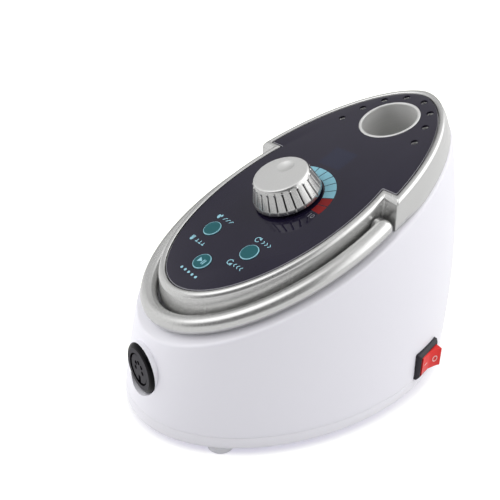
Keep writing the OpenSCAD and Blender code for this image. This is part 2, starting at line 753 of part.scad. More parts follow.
module key_cap(x, v) {
  under = panel_t + fit_gap;
  color("teal") on_panel(x, v) {
    translate([0, 0, -under]) rod(key_r, under + key_rise);
    translate([0, 0, -under - key_flange_t]) rod(key_flange_r, key_flange_t);
    translate([0, 0, -key_stem_foot]) rod(key_stem_r, key_stem_foot - under);
  }
}
module hand_foot_key() {
  key_cap(-side_key_x, side_key_v);
}
module direction_key() {
  key_cap(side_key_x, side_key_v);
}
module standby_key() {
  key_cap(0, standby_v);
}
module tact_switches() {
  color("#303030") on_panel(h = -board_drop) key_places() {
    block([tact_w, tact_w, tact_h]);
    rod(tact_tip_r, tact_h + tact_tip_h);
  }
}
module speed_display() {
  color("#202840") on_panel(v = display_v, h = -board_drop)
    block([display_w, display_len, board_drop - panel_t - fit_gap]);
}
module control_board() {
  color("seagreen") on_panel(h = -board_drop - board_t) difference() {
    linear_extrude(board_t) intersection() {
      translate([0, board_v]) oval(board_half, board_len);
      translate([-big / 2, board_rear_v - big]) square([big, big]);
    }
    for (p = mirror_x(board_boss_places)) translate([p[0], p[1], -eps])
      rod(board_screw_r + slip, board_t + 2 * eps);
  }
}
module board_screws() {
  color("gray") for (p = mirror_x(board_boss_places)) on_panel(p[0], p[1], -board_drop - board_t)
    pan_screw(board_screw_r, board_t + board_drop - deck_under - 1, board_boss_r, screw_head_t);
}
module bezel_screws() {
  color("gray") on_panel(h = -ledge_under) bezel_boss_places()
    pan_screw(screw_r, ledge_under - deck_under - 1, screw_head_r, screw_head_t);
}

module handpiece_socket() {
  out = din_seat + din_out;
  color("#26262a") on_socket() rotate_extrude() polygon([
    [din_insert_r + slip, -din_pad_t - din_barrel_len], [din_barrel_r, -din_pad_t - din_barrel_len],
    [din_barrel_r, 0], [din_r, 0], [din_r, out - din_bevel], [din_r - din_slant, out],
    [din_insert_r + slip, out]]);
}
module contact_places() {
  for (t = contact_turns) rotate([0, 0, t]) translate([contact_ring_r, 0, 0]) children();
}
module socket_insert() {
  face = din_seat + din_out - din_face_sink;
  foot = -din_pad_t - din_barrel_len + wall;
  key_w = 2.4;
  color("#1b1b1e") on_socket() difference() {
    union() {
      translate([0, 0, foot]) rod(din_insert_r, face - din_step - foot);
      translate([0, 0, face - din_step - eps]) rod(din_core_r, din_step + eps);
    }
    translate([0, 0, foot - eps]) contact_places() rod(contact_r + slip, big / 8);
    translate([-key_w / 2, -din_insert_r, face - din_step]) cube([key_w, din_insert_r - din_core_r + key_w, big / 8]);
  }
}
module socket_contacts() {
  face = din_seat + din_out - din_face_sink;
  tail = -din_pad_t - din_barrel_len - 3;
  color("goldenrod") on_socket() translate([0, 0, tail]) contact_places() difference() {
    rod(contact_r, face - 0.5 - tail);
    translate([0, 0, face - tail - din_step]) rod(contact_r / 2, din_step);
  }
}
module socket_nut() {
  nut_h = 3;
  color("gray") on_socket() translate([0, 0, -din_pad_t - nut_h]) difference() {
    cylinder(h = nut_h, r = din_nut_r, $fn = 6);
    translate([0, 0, -eps]) rod(din_barrel_r + slip, nut_h + 2 * eps);
  }
}

module switch_body() {
  cavity_len = 2 * (rocker_r + fit_gap);
  cavity_high = 2 * (rocker_half_high + fit_gap);
  cavity_deep = rocker_r + fit_gap;
  color("#222226") on_switch() difference() {
    union() {
      translate([0, -switch_len / 2, -switch_high / 2]) cube([switch_rim_t, switch_len, switch_high]);
      translate([-switch_deep, -switch_cut_len / 2, -switch_cut_high / 2])
        cube([switch_deep + eps, switch_cut_len, switch_cut_high]);
    }
    translate([rocker_axis_x - cavity_deep, -cavity_len / 2, -cavity_high / 2])
      cube([big / 8, cavity_len, cavity_high]);
    translate([rocker_axis_x, 0, -switch_high]) rod(rocker_pin_r + slip, 2 * switch_high);
  }
}
module switch_terminals() {
  tab_w = 4.8;
  tab_t = 0.8;
  tab_len = 7;
  color("goldenrod") on_switch() for (s = [-1, 1])
    translate([-switch_deep - tab_len, s * switch_cut_len / 4 - tab_t / 2, -tab_w / 2])
      cube([tab_len, tab_t, tab_w]);
}
// Rocker seen along its pivot: a round belly under two faces that meet in a shallow valley;
// the ends lean in by the tilt, so that the pressed end stands square in the bezel
module rocker_section() {
  slope = tan(rocker_tilt);
  valley = switch_rim_t - rocker_axis_x + 0.6;
  tip = (valley + rocker_r * slope) / (1 + slope * slope);
  tip_y = rocker_r - tip * slope;
  intersection() {
    union() {
      circle(r = rocker_r);
      translate([0, -rocker_r]) square([big / 8, 2 * rocker_r]);
    }
    polygon([[-rocker_dip, -rocker_r], [0, -rocker_r], [tip, -tip_y], [valley, 0], [tip, tip_y],
      [0, rocker_r], [-rocker_dip, rocker_r]]);
  }
}
module switch_rocker() {
  color("red") on_switch() translate([rocker_axis_x, 0, 0]) rotate([0, 0, -rocker_tilt]) {
    translate([0, 0, -rocker_half_high]) linear_extrude(2 * rocker_half_high) rocker_section();
    translate([0, 0, -switch_cut_high / 2 + slip]) rod(rocker_pin_r, switch_cut_high - 2 * slip);
  }
}

module inlet_mouth(r, deep) {
  rotate([90, 0, 0]) {
    for (s = [-1, 1]) translate([s * inlet_pitch / 2, 0, 0]) rod(r, deep);
    translate([-inlet_pitch / 2, -r, 0]) cube([inlet_pitch, 2 * r, deep]);
  }
}
module mains_inlet() {
  rim_w2 = inlet_w + 2 * inlet_rim;
  rim_h2 = inlet_high + 2 * inlet_rim;
  color("#222226") translate([inlet_x, bay_floor_y, bay_z]) difference() {
    union() {
      translate([-rim_w2 / 2, 0, -rim_h2 / 2]) cube([rim_w2, inlet_rim_t, rim_h2]);
      translate([-inlet_w / 2, -inlet_deep, -inlet_high / 2]) cube([inlet_w, inlet_deep + eps, inlet_high]);
    }
    translate([0, inlet_rim_t + eps, 0]) inlet_mouth(inlet_socket_r, inlet_deep);
    translate([0, 0, 0]) rotate([90, 0, 0]) for (s = [-1, 1])
      translate([s * inlet_pitch / 2, 0, 0]) rod(inlet_pin_r + slip, big / 8);
  }
}
module inlet_pins() {
  tail = 4;
  color("lightgray") translate([inlet_x, bay_floor_y - 1, bay_z]) rotate([90, 0, 0])
    for (s = [-1, 1]) translate([s * inlet_pitch / 2, 0, 0]) rod(inlet_pin_r, inlet_deep + tail);
}
module pedal_jack() {
  color("#333338") translate([jack_x, bay_floor_y - bay_wall, bay_z]) rotate([90, 0, 0]) difference() {
    union() {
      block([jack_body, jack_body, jack_deep]);
      translate([0, 0, -bay_wall - jack_out]) rod(jack_thread_r, bay_wall + jack_out + eps);
    }
    translate([0, 0, -bay_wall - jack_out - eps]) rod(jack_r, bay_wall + jack_out + jack_deep - wall);
  }
}
module jack_nut() {
  color("lightgray") translate([jack_x, bay_floor_y + jack_nut_t, bay_z]) rotate([90, 0, 0]) difference() {
    cylinder(h = jack_nut_t, r = jack_nut_r, $fn = 6);
    translate([0, 0, -eps]) rod(jack_thread_r + slip, jack_nut_t + 2 * eps);
  }
}

module transformer_core() {
  window_z = (core_h - window_h) / 2;
  color("dimgray") translate([0, core_y, floor_z + clamp_t]) difference() {
    block([core_w, core_t, core_h]);
    for (s = [-1, 1]) translate([s * core_leg * 1.5, 0, window_z]) block([core_leg, big / 2, window_h]);
  }
}
module transformer_coil() {
  window_z = (core_h - window_h) / 2;
  leg = 2 * core_leg;
  color("peru") translate([0, core_y, floor_z + clamp_t + window_z + slip]) difference() {
    block([leg + 2 * core_leg - 2 * slip, core_t + 2 * coil_over, window_h - 2 * slip]);
    translate([0, 0, -eps]) block([leg + 2 * slip, core_t + 2 * slip, window_h]);
  }
}
module transformer_clamp() {
  wide = core_w + 2 * (clamp_t + slip);
  tall = core_h + clamp_t + slip;
  strap = core_t - 4;
  color("lightgray") translate([0, core_y, floor_z]) difference() {
    union() {
      block([wide, strap, tall + clamp_t]);
      block([core_w + 2 * clamp_tab, strap, clamp_t]);
    }
    translate([0, 0, clamp_t]) block([core_w + 2 * slip, big / 2, core_h + slip]);
    translate([0, 0, -eps]) block([core_w - 8, big / 2, clamp_t + 2 * eps]);
    for (s = [-1, 1]) translate([s * (core_w + clamp_tab) / 2, 0, -eps])
      rod(screw_r + slip, clamp_t + 2 * eps);
  }
}
module clamp_screws() {
  color("gray") for (s = [-1, 1]) translate([s * (core_w + clamp_tab) / 2, core_y, floor_z + clamp_t])
    rotate([180, 0, 0]) pan_screw(screw_r, clamp_t + base_t - foot_sink - slip, screw_head_r, screw_head_t);
}
module standoff_places() {
  for (x = [-1, 1], y = [-1, 1])
    translate([x * (power_w / 2 - standoff_in), y * (power_len / 2 - standoff_in), 0]) children();
}
module power_board() {
  color("seagreen") translate([0, power_y, power_z]) difference() {
    block([power_w, power_len, board_t]);
    translate([0, 0, -eps]) standoff_places() rod(board_screw_r + slip, board_t + 2 * eps);
  }
}
module power_board_screws() {
  color("gray") translate([0, power_y, power_z + board_t]) standoff_places()
    rotate([180, 0, 0]) pan_screw(board_screw_r, board_t + base_t + 1, standoff_r - 0.6, screw_head_t - 0.4);
}
module smoothing_capacitor() {
  color("#20304a") translate([-power_w / 5, power_y - power_len / 6, power_z + board_t]) rod(cap_r, cap_h);
}
module heat_sink() {
  pitch = (sink_w - fin_gap) / (fin_count - 1);
  color("darkgray") translate([0, power_y + power_len / 2 - sink_len / 2 - 1, power_z + board_t]) difference() {
    block([sink_w, sink_len, sink_h]);
    for (i = [0 : fin_count - 2])
      translate([(i - (fin_count - 2) / 2) * pitch, -sink_len / 2 + 3, -eps])
        translate([-fin_gap / 2, 0, 0]) cube([fin_gap, sink_len, sink_h + 2 * eps]);
  }
}

module rubber_feet() {
  foot_flare = 0.6;
  color("lightgray") for (t = foot_turns) translate(flank(t, foot_h, foot_inset)) translate([0, 0, -foot_h]) {
    cylinder(h = foot_h, r1 = foot_r - foot_flare, r2 = foot_r);
    translate([0, 0, foot_h - eps]) rod(foot_r, foot_sink + eps);
  }
}
module base_screws() {
  color("gray") for (t = post_turns)
    translate([post_place(t)[0], post_place(t)[1], foot_h + base_boss_h])
      pan_screw(screw_r, base_t + base_screw_grip, base_head_r, base_head_t);
}

main_housing();
base_plate();
top_bezel();
control_panel();
handpiece_cup();
carry_handle();
handle_pins();
speed_knob();
pot_shaft();
potentiometer();
pot_nut();
hand_foot_key();
direction_key();
standby_key();
tact_switches();
speed_display();
control_board();
board_screws();
bezel_screws();
handpiece_socket();
socket_insert();
socket_contacts();
socket_nut();
switch_body();
switch_terminals();
switch_rocker();
mains_inlet();
inlet_pins();
pedal_jack();
jack_nut();
transformer_core();
transformer_coil();
transformer_clamp();
clamp_screws();
power_board();
power_board_screws();
smoothing_capacitor();
heat_sink();
rubber_feet();
base_screws();
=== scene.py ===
import math

import bmesh
import bpy
from mathutils import Matrix, Vector


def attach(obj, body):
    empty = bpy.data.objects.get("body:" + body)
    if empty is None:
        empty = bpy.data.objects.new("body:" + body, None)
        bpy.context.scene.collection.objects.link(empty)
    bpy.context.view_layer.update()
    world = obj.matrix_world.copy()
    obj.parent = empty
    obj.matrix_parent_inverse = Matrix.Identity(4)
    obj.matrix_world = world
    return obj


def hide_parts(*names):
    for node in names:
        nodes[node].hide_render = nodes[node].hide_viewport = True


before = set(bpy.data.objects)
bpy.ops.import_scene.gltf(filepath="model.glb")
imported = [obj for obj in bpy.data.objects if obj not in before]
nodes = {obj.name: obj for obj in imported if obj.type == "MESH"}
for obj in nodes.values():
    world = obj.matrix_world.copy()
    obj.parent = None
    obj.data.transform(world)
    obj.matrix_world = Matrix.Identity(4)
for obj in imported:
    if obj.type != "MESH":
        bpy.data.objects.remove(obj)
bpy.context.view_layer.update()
print("frame loaded:", len(nodes), "nodes")

# lengths are written in millimetres and scaled to metres when a piece is finished
slope = math.radians(22)
panelCentre = Vector((0, -6.8, 96.4))
panelPlace = Matrix.Translation(panelCentre) @ Matrix.Rotation(slope, 4, "X")
lean = math.tan(slope)
origin = Matrix.Identity(4)
mergeWithin = 0.0005


def paint(red, green, blue):
    # screen colour 0 to 255, as linear light
    return tuple(((c / 255 + 0.055) / 1.055) ** 2.4 for c in (red, green, blue)) + (1.0,)


class Signal:
    # a socket in a graph; sums and products of signals add Math nodes
    def __init__(self, graph, socket):
        self.graph, self.socket = graph, socket

    def __add__(self, other):
        return self.graph.maths("ADD", self, other)

    def __sub__(self, other):
        return self.graph.maths("SUBTRACT", self, other)

    def __rsub__(self, other):
        return self.graph.maths("SUBTRACT", other, self)

    def __mul__(self, other):
        return self.graph.maths("MULTIPLY", self, other)

    def __lt__(self, other):
        return self.graph.maths("LESS_THAN", self, other)

    __radd__ = __add__
    __rmul__ = __mul__


class Graph:
    def __init__(self, tree):
        self.tree = tree

    def plug(self, socket, value):
        if isinstance(value, Signal):
            self.tree.links.new(value.socket, socket)
        else:
            socket.default_value = value

    def node(self, kind, settings, sockets, output=0):
        made = self.tree.nodes.new("ShaderNode" + kind)
        for name, value in settings.items():
            setattr(made, name, value)
        for name, value in sockets.items():
            self.plug(made.inputs[name], value)
        return Signal(self, made.outputs[output])

    def maths(self, operation, first, second=0.0):
        return self.node("Math", {"operation": operation}, {0: first, 1: second})

    def mixed(self, share, first, second):
        return self.node("Mix", {"data_type": "RGBA"}, {0: share, 6: first, 7: second}, 2)

    def ramp(self, value, low, high):
        return self.node("MapRange", {"interpolation_type": "SMOOTHSTEP"},
                         {"Value": value, "From Min": low, "From Max": high})

    def rays(self, *kinds):
        # 1 for rays of these kinds
        total = 0.0
        for kind in kinds:
            total = total + self.node("LightPath", {}, {}, "Is " + kind + " Ray")
        return self.maths("MINIMUM", total, 1.0)


class Finish(Graph):
    def __init__(self, name, plain):
        self.material = bpy.data.materials.new(name)
        self.material.use_nodes = True
        super().__init__(self.material.node_tree)
        self.shader = self.tree.nodes["Principled BSDF"]
        self.feed(plain)

    def feed(self, values):
        for name, value in values.items():
            self.plug(self.shader.inputs[name], value)

    def spot(self):
        return self.node("TexCoord", {}, {}, "Object")

    def onPanel(self, v=0.0):
        # coordinates on the sloping panel: across, up the slope, out of the face
        place = panelPlace @ Vector((0, v, 0)) * 0.001
        return self.node("Mapping", {"vector_type": "TEXTURE"},
                         {"Vector": self.spot(), "Location": place, "Rotation": (slope, 0, 0)})

    def noise(self, where, scale, detail=2.0):
        return self.node("TexNoise", {}, {"Vector": where, "Scale": scale, "Detail": detail})

    def stretched(self, where, factors):
        return self.node("VectorMath", {"operation": "MULTIPLY"}, {0: where, 1: factors})

    def bump(self, height, strength, distance):
        self.feed({"Normal": self.node("Bump", {}, {"Strength": strength, "Distance": distance, "Height": height},
                                       "Normal")})


def toned(colour, factor):
    return tuple(min(1.0, c * factor) for c in colour[:3]) + (1.0,)


def moulded(name, colour, rough, grain=2600.0, depth=0.00002, drift=0.05, plain=None):
    # moulded plastic: fine grain in the surface, slow drift in tint and gloss
    finish = Finish(name, {"Roughness": rough, **(plain or {})})
    spot = finish.spot()
    slow = finish.noise(spot, 24.0)
    finish.feed({"Base Color": finish.mixed(slow, toned(colour, 1 - drift), colour),
                 "Roughness": rough * 0.85 + slow * (rough * 0.3)})
    finish.bump(finish.noise(spot, grain), 0.25, depth)
    return finish


def metalFlake(name, colour, rough, metal, flake=5200.0, plain=None):
    # metallic paint: small bright flakes in a satin coat
    finish = Finish(name, {"Metallic": metal, **(plain or {})})
    spot = finish.spot()
    cell = finish.node("TexVoronoi", {}, {"Vector": spot, "Scale": flake}, "Distance")
    slow = finish.noise(spot, 30.0)
    finish.feed({"Base Color": finish.mixed(cell * 0.8 + slow * 0.3, toned(colour, 0.86), colour),
                 "Roughness": rough + (slow - 0.5) * 0.08 + (cell - 0.5) * 0.05})
    finish.bump(cell, 0.08, 0.00001)
    return finish


def brushed(name, colour, rough, where, factors, metal=1.0, depth=0.00003, dark=0.72):
    # turned or brushed metal: lines drawn out along one direction
    finish = Finish(name, {"Metallic": metal})
    lines = finish.noise(finish.stretched(where(finish), factors), 1.0, 3.0)
    finish.feed({"Base Color": finish.mixed(lines, toned(colour, dark), colour),
                 "Roughness": rough + (lines - 0.5) * 0.16})
    finish.bump(lines, 0.2, depth)
    return finish


def printInk(name, colour, rough=0.45):
    # screen printed ink: a faint mesh in the tint
    finish = Finish(name, {"Specular IOR Level": 0.25})
    mesh = finish.noise(finish.onPanel(), 3000.0, 1.0)
    finish.feed({"Base Color": finish.mixed(mesh, colour, toned(colour, 1.12)), "Roughness": rough + mesh * 0.08})
    finish.bump(mesh, 0.1, 0.00001)
    return finish


whiteShell = moulded("whiteShell", paint(235, 234, 241), 0.36, 2400.0, 0.000012, 0.02,
                     {"Coat Weight": 0.2, "Coat Roughness": 0.2})
baseShell = moulded("baseShell", paint(233, 232, 238), 0.4, 2400.0, 0.000012, 0.02)
silverPaint = metalFlake("silverPaint", paint(207, 207, 206), 0.26, 0.84)
knobSide = brushed("knobSide", paint(208, 208, 207), 0.22, lambda f: f.onPanel(-0.5),
                   (2600.0, 2600.0, 60.0), 0.92, dark=0.55)
knobTop = metalFlake("knobTop", paint(220, 220, 219), 0.36, 0.72, 4200.0)
cupMetal = brushed("cupMetal", paint(222, 222, 221), 0.36, lambda f: f.onPanel(71.0),
                   (60.0, 60.0, 2400.0), 0.45, dark=0.85)
blackPlastic = moulded("blackPlastic", paint(34, 32, 40), 0.42, 1800.0, 0.00003, 0.1, {"Specular IOR Level": 0.3})
socketFace = moulded("socketFace", paint(34, 31, 41), 0.5, 2200.0, 0.00002, 0.08, {"IOR": 1.35})
socketGloss = moulded("socketGloss", paint(6, 5, 9), 0.14, 900.0, 0.000006, 0.1, {"IOR": 1.18})
# painted shade: near black for the shade that falls in the knob's grooves
paintedGrooveShade = moulded("paintedGrooveShade", paint(26, 26, 27), 0.5, 2000.0, 0.00001, 0.1)
rockerRed = moulded("rockerRed", paint(232, 40, 36), 0.4, 900.0, 0.00001, 0.08, {"Specular IOR Level": 0.3})
markPink = moulded("markPink", paint(250, 196, 192), 0.4, 900.0, 0.00001, 0.04)
footRubber = moulded("footRubber", paint(214, 214, 219), 0.7, 1500.0, 0.00006, 0.06)
keyTeal = moulded("keyTeal", paint(14, 86, 93), 0.5, 2600.0, 0.00002, 0.05, {"Specular IOR Level": 0.3})
paleInk = printInk("paleInk", paint(140, 190, 204))
redInk = printInk("redInk", paint(122, 14, 16))
blueInk = printInk("blueInk", paint(124, 176, 192))
greyInk = printInk("greyInk", paint(122, 122, 128))
steel = brushed("steel", paint(188, 188, 190), 0.3, lambda f: f.spot(), (900.0, 900.0, 2400.0), 1.0)
contactBrass = metalFlake("contactBrass", paint(214, 178, 96), 0.3, 1.0, 3000.0)
contactDark = metalFlake("contactDark", paint(46, 42, 40), 0.4, 0.8, 3000.0)
sinkMetal = brushed("sinkMetal", paint(168, 170, 174), 0.4, lambda f: f.spot(), (2400.0, 300.0, 300.0), 1.0)
potCase = moulded("potCase", paint(120, 150, 120), 0.4)
capSleeve = moulded("capSleeve", paint(34, 50, 84), 0.3)
displayGlass = moulded("displayGlass", paint(36, 42, 70), 0.2)
# painted highlight: pale grey for the panel's edge chamfer, standing for light caught on the polished edge
panelEdgeHighlight = moulded("panelEdgeHighlight", paint(128, 127, 134), 0.3, 2600.0, 0.00001, 0.05)


def patterned(name, metal, kind, settings, sockets, output, dark, pale, rough, strength, depth):
    # an even pattern in the tint, the gloss and the relief
    finish = Finish(name, {"Metallic": metal})
    marks = finish.node(kind, settings, {"Vector": finish.spot(), **sockets}, output)
    finish.feed({"Base Color": finish.mixed(marks, paint(*dark), paint(*pale)), "Roughness": rough + marks * 0.1})
    finish.bump(marks, strength, depth)
    return finish


# green mask with copper tracks under it, wound enamelled wire, stacked core sheets
boardGreen = patterned("boardGreen", 0.0, "TexBrick", {"offset": 0.5}, {"Scale": 160.0, "Mortar Size": 0.04}, "Fac",
                       (22, 92, 56), (58, 138, 88), 0.35, 0.3, 0.00003)
coilCopper = patterned("coilCopper", 0.6, "TexWave", {"bands_direction": "Z"}, {"Scale": 330.0, "Distortion": 0.4}, 0,
                       (120, 62, 30), (206, 128, 70), 0.3, 0.6, 0.0002)
coreSteel = patterned("coreSteel", 0.8, "TexWave", {"bands_direction": "Y"}, {"Scale": 320.0, "Distortion": 0.2}, 0,
                      (70, 70, 74), (128, 128, 132), 0.45, 0.5, 0.0001)


def panelFinish():
    # glossy smoked panel, with the display's patch faintly seen through it
    patch = {"half": (0.0075, 0.007), "v": 33.4}
    finish = Finish("panelGloss", {"IOR": 1.42})
    spot = finish.onPanel(patch["v"])
    inside = 1.0
    for axis, half in zip("XY", patch["half"]):
        inside = (finish.maths("ABSOLUTE", finish.node("SeparateXYZ", {}, {0: spot}, axis)) < half) * inside
    smear = finish.noise(spot, 40.0, 4.0)
    base = finish.mixed(smear, paint(22, 18, 36), paint(29, 25, 44))
    finish.feed({"Base Color": finish.mixed(inside * 0.6, base, paint(26, 32, 58)),
                 "Roughness": 0.04 + smear * 0.05})
    finish.bump(finish.noise(spot, 90.0), 0.02, 0.00002)
    return finish


panelGloss = panelFinish()
print("finishes ready")


def softened(corners, steps=5):
    # profile of (radius, height, rounding) corners, each corner rounded off
    points = []
    for i, (radius, height, soft) in enumerate(corners):
        here = Vector((radius, height))
        if not soft:
            points.append(here)
            continue
        before = (Vector(corners[i - 1][:2]) - here).normalized() * soft
        after = (Vector(corners[i + 1][:2]) - here).normalized() * soft
        points += rounded(here, before, after, steps)
    return points


def clamp(share):
    return min(1.0, max(0.0, share))


def quarter(steps):
    # angles of a quarter turn
    return [math.pi / 2 * k / steps for k in range(steps + 1)]


def rounded(here, before, after, steps=5):
    return [here + before * (1 - k / steps) ** 2 + after * (k / steps) ** 2 for k in range(steps + 1)]


def turned(profile, place, steps=96, into=None):
    # a profile spun round the local z axis
    bm = bmesh.new()
    points = [bm.verts.new((p[0], 0, p[1])) for p in profile]
    edges = [bm.edges.new(pair) for pair in zip(points, points[1:])]
    bmesh.ops.spin(bm, geom=points + edges, cent=(0, 0, 0), axis=(0, 0, 1), angle=math.tau, steps=steps, use_merge=True)
    bmesh.ops.remove_doubles(bm, verts=bm.verts, dist=mergeWithin)
    return placed(bm, place, into)


def placed(bm, place, into=None):
    # moves bm to its place, and adds it to a mesh that is being made
    bmesh.ops.transform(bm, matrix=place, verts=bm.verts)
    if into is None:
        return bm
    carrier = bpy.data.meshes.new("carrier")
    bm.to_mesh(carrier)
    bm.free()
    into.from_mesh(carrier)
    bpy.data.meshes.remove(carrier)
    return into


def firstRing(bm, points, capped=False):
    ring = list(bmesh.ops.create_circle(bm, cap_ends=capped, segments=len(points), radius=1)["verts"])
    for vert, point in zip(ring, points):
        vert.co = point
    return ring


def ringEdges(bm, ring):
    return [bm.edges.get(pair) for pair in zip(ring, ring[1:] + ring[:1])]


def nextRing(bm, ring, points):
    # extrudes an open edge loop and sets the new loop in place
    made = bmesh.ops.extrude_edge_only(bm, edges=ringEdges(bm, ring))["geom"]
    fresh = {v for v in made if isinstance(v, bmesh.types.BMVert)}
    grown = []
    for vert, point in zip(ring, points):
        partner = next(e.other_vert(vert) for e in vert.link_edges if e.other_vert(vert) in fresh)
        partner.co = point
        grown.append(partner)
    return grown


def lofted(rings, looped=False):
    bm = bmesh.new()
    first = ring = firstRing(bm, rings[0])
    for points in rings[1:]:
        ring = nextRing(bm, ring, points)
    if looped:
        bmesh.ops.bridge_loops(bm, edges=ringEdges(bm, first) + ringEdges(bm, ring))
    else:
        for end in (first, ring):
            bmesh.ops.edgeloop_fill(bm, edges=ringEdges(bm, end))
    bmesh.ops.recalc_face_normals(bm, faces=bm.faces)
    return bm


def raised(bm, high, place, into):
    # flat faces drawn up to a height
    up = bmesh.ops.extrude_face_region(bm, geom=list(bm.faces))["geom"]
    bmesh.ops.translate(bm, vec=(0, 0, high), verts=[v for v in up if isinstance(v, bmesh.types.BMVert)])
    bmesh.ops.recalc_face_normals(bm, faces=bm.faces)
    return placed(bm, place, into)


def slab(points, low, high, place, into=None):
    # flat outline drawn up from low to high
    bm = bmesh.new()
    firstRing(bm, [(*point, low) for point in points], True)
    return raised(bm, high - low, place, into)


def roundBox(size, corner, place, segments=4, into=None):
    # block with rounded edges, centred
    bm = bmesh.new()
    bmesh.ops.create_cube(bm, size=1, matrix=Matrix.Diagonal((*size, 1)))
    if corner:
        bmesh.ops.bevel(bm, geom=list(bm.edges), offset=corner, affect="EDGES", segments=segments,
                        profile=0.5, material=-1)
    return placed(bm, place, into)


def drum(radius, low, high, place, into=None, steps=64):
    return turned([(0, low), (radius, low), (radius, high), (0, high)], place, steps, into)


def repaint(bm, place, fits):
    # second finish on the faces whose middle fits, as seen from a place
    back = place.inverted()
    for face in bm.faces:
        if fits(back @ face.calc_center_median()):
            face.material_index = 1


def asObject(name, bm):
    mesh = bpy.data.meshes.new(name)
    bm.to_mesh(mesh)
    bm.free()
    made = bpy.data.objects.new(name, mesh)
    bpy.context.scene.collection.objects.link(made)
    return made


def carved(bm, *tools):
    # takes the tools' volumes out of a closed shape
    stock = asObject("stock", bm)
    cutters = []
    for tool in tools:
        bmesh.ops.recalc_face_normals(tool, faces=tool.faces)
        cutters.append(asObject("cutter", tool))
        cut = stock.modifiers.new("cut", "BOOLEAN")
        cut.operation, cut.solver, cut.object = "DIFFERENCE", "EXACT", cutters[-1]
    bpy.context.view_layer.update()
    result = bmesh.new()
    result.from_mesh(stock.evaluated_get(bpy.context.evaluated_depsgraph_get()).to_mesh())
    for used in [stock] + cutters:
        mesh = used.data
        bpy.data.objects.remove(used)
        bpy.data.meshes.remove(mesh)
    return result


def addPiece(name, bm, finishes, body, slotName, *stands, sharp=32):
    bmesh.ops.remove_doubles(bm, verts=bm.verts, dist=mergeWithin)
    bmesh.ops.recalc_face_normals(bm, faces=bm.faces)
    bmesh.ops.scale(bm, vec=(0.001, 0.001, 0.001), verts=bm.verts)
    piece = asObject(name, bm)
    for finish in finishes:
        piece.data.materials.append(finish.material)
    piece.data.shade_smooth()
    piece.data.set_sharp_from_angle(angle=math.radians(sharp))
    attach(piece, body)
    if stands:
        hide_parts(*stands)
    return piece


# white housing and its base
shell = {"front": (97.5, 92.5, 85.4, 82.6), "rear": (93.4, 97.7, 93.5), "half": (66.5, 60.2, 43.5), "foot": 3.2,
         "rise": 119.8, "seam": 9.8, "ledgeDrop": 13.55, "ledge": 2.6, "lips": (0.9, 2.2), "edge": 0.14,
         "opening": (34.0, 59.94, 89.94), "walls": (3.0, 9.5), "thickBelow": (67.0, 8.0),
         "around": 192, "rows": 34, "lipRows": 8, "innerRows": 12}
turnsAround = [math.tau * i / shell["around"] for i in range(shell["around"])]


def station(values, z):
    # smooth curve through the reach at the foot, the middle and the top, and at a quarter where it is given
    s = (z - shell["foot"]) / shell["rise"]
    knots = (0, 0.5, 1) if len(values) == 3 else (0, 0.25, 0.5, 1)
    total = 0.0
    for value, knot in zip(values, knots):
        for other in knots:
            if other != knot:
                value *= (s - other) / (knot - other)
        total += value
    return total


def flank(turn, z, inset=0.0):
    front, rear, half = (station(shell[k], z) for k in ("front", "rear", "half"))
    y = (rear - front) / 2 + ((rear + front) / 2 - inset) * math.sin(turn)
    return Vector(((half - inset) * math.cos(turn), y, z))


def slopeZ(y, h):
    return panelCentre.z + (y - panelCentre.y) * lean + h / math.cos(slope)


def flankTop(turn, h, inset):
    z = panelCentre.z
    for i in range(16):
        z = slopeZ(flank(turn, z, inset).y, h)
    return flank(turn, z, inset)


def flankRing(z, inset):
    return [flank(t, z, inset) for t in turnsAround]


def openingRing(h):
    half, front, rear = shell["opening"]
    ring = []
    for t in turnsAround:
        y = panelCentre.y + (rear if math.sin(t) > 0 else front) * math.sin(t)
        ring.append(Vector((half * math.cos(t), y, slopeZ(y, h))))
    return ring


def lipAt(turn):
    # the ledge's edge is rounder behind the handle's ends
    share = clamp((math.sin(turn) + 0.1) / 0.3)
    front, rear = shell["lips"]
    return front + (rear - front) * share


def housingRings():
    seam, edge, drop = shell["seam"], shell["edge"], shell["ledgeDrop"]
    tops = [flankTop(t, -drop - lipAt(t), 0).z for t in turnsAround]
    rings = [flankRing(seam, edge), flankRing(seam + edge * 0.3, edge * 0.3)]
    low, rows = seam + edge, shell["rows"]
    for k in range(rows + 1):
        rings.append([flank(t, low + (top - low) * k / rows) for t, top in zip(turnsAround, tops)])
    for a in quarter(shell["lipRows"])[1:]:
        rings.append([flankTop(t, -drop - lipAt(t) * (1 - math.sin(a)), lipAt(t) * (1 - math.cos(a)))
                      for t in turnsAround])
    rings += [openingRing(-drop), openingRing(-drop - shell["ledge"])]
    upper, lower = shell["walls"]
    inner = [flankTop(t, -drop - shell["ledge"], upper).z for t in turnsAround]
    thickTop, thickRun = shell["thickBelow"]
    for k in range(shell["innerRows"], -1, -1):
        ring = []
        for t, top in zip(turnsAround, inner):
            z = seam + (top - seam) * k / shell["innerRows"]
            thick = clamp((thickTop - z) / thickRun)
            ring.append(flank(t, z, upper + (lower - upper) * thick))
        rings.append(ring)
    return rings


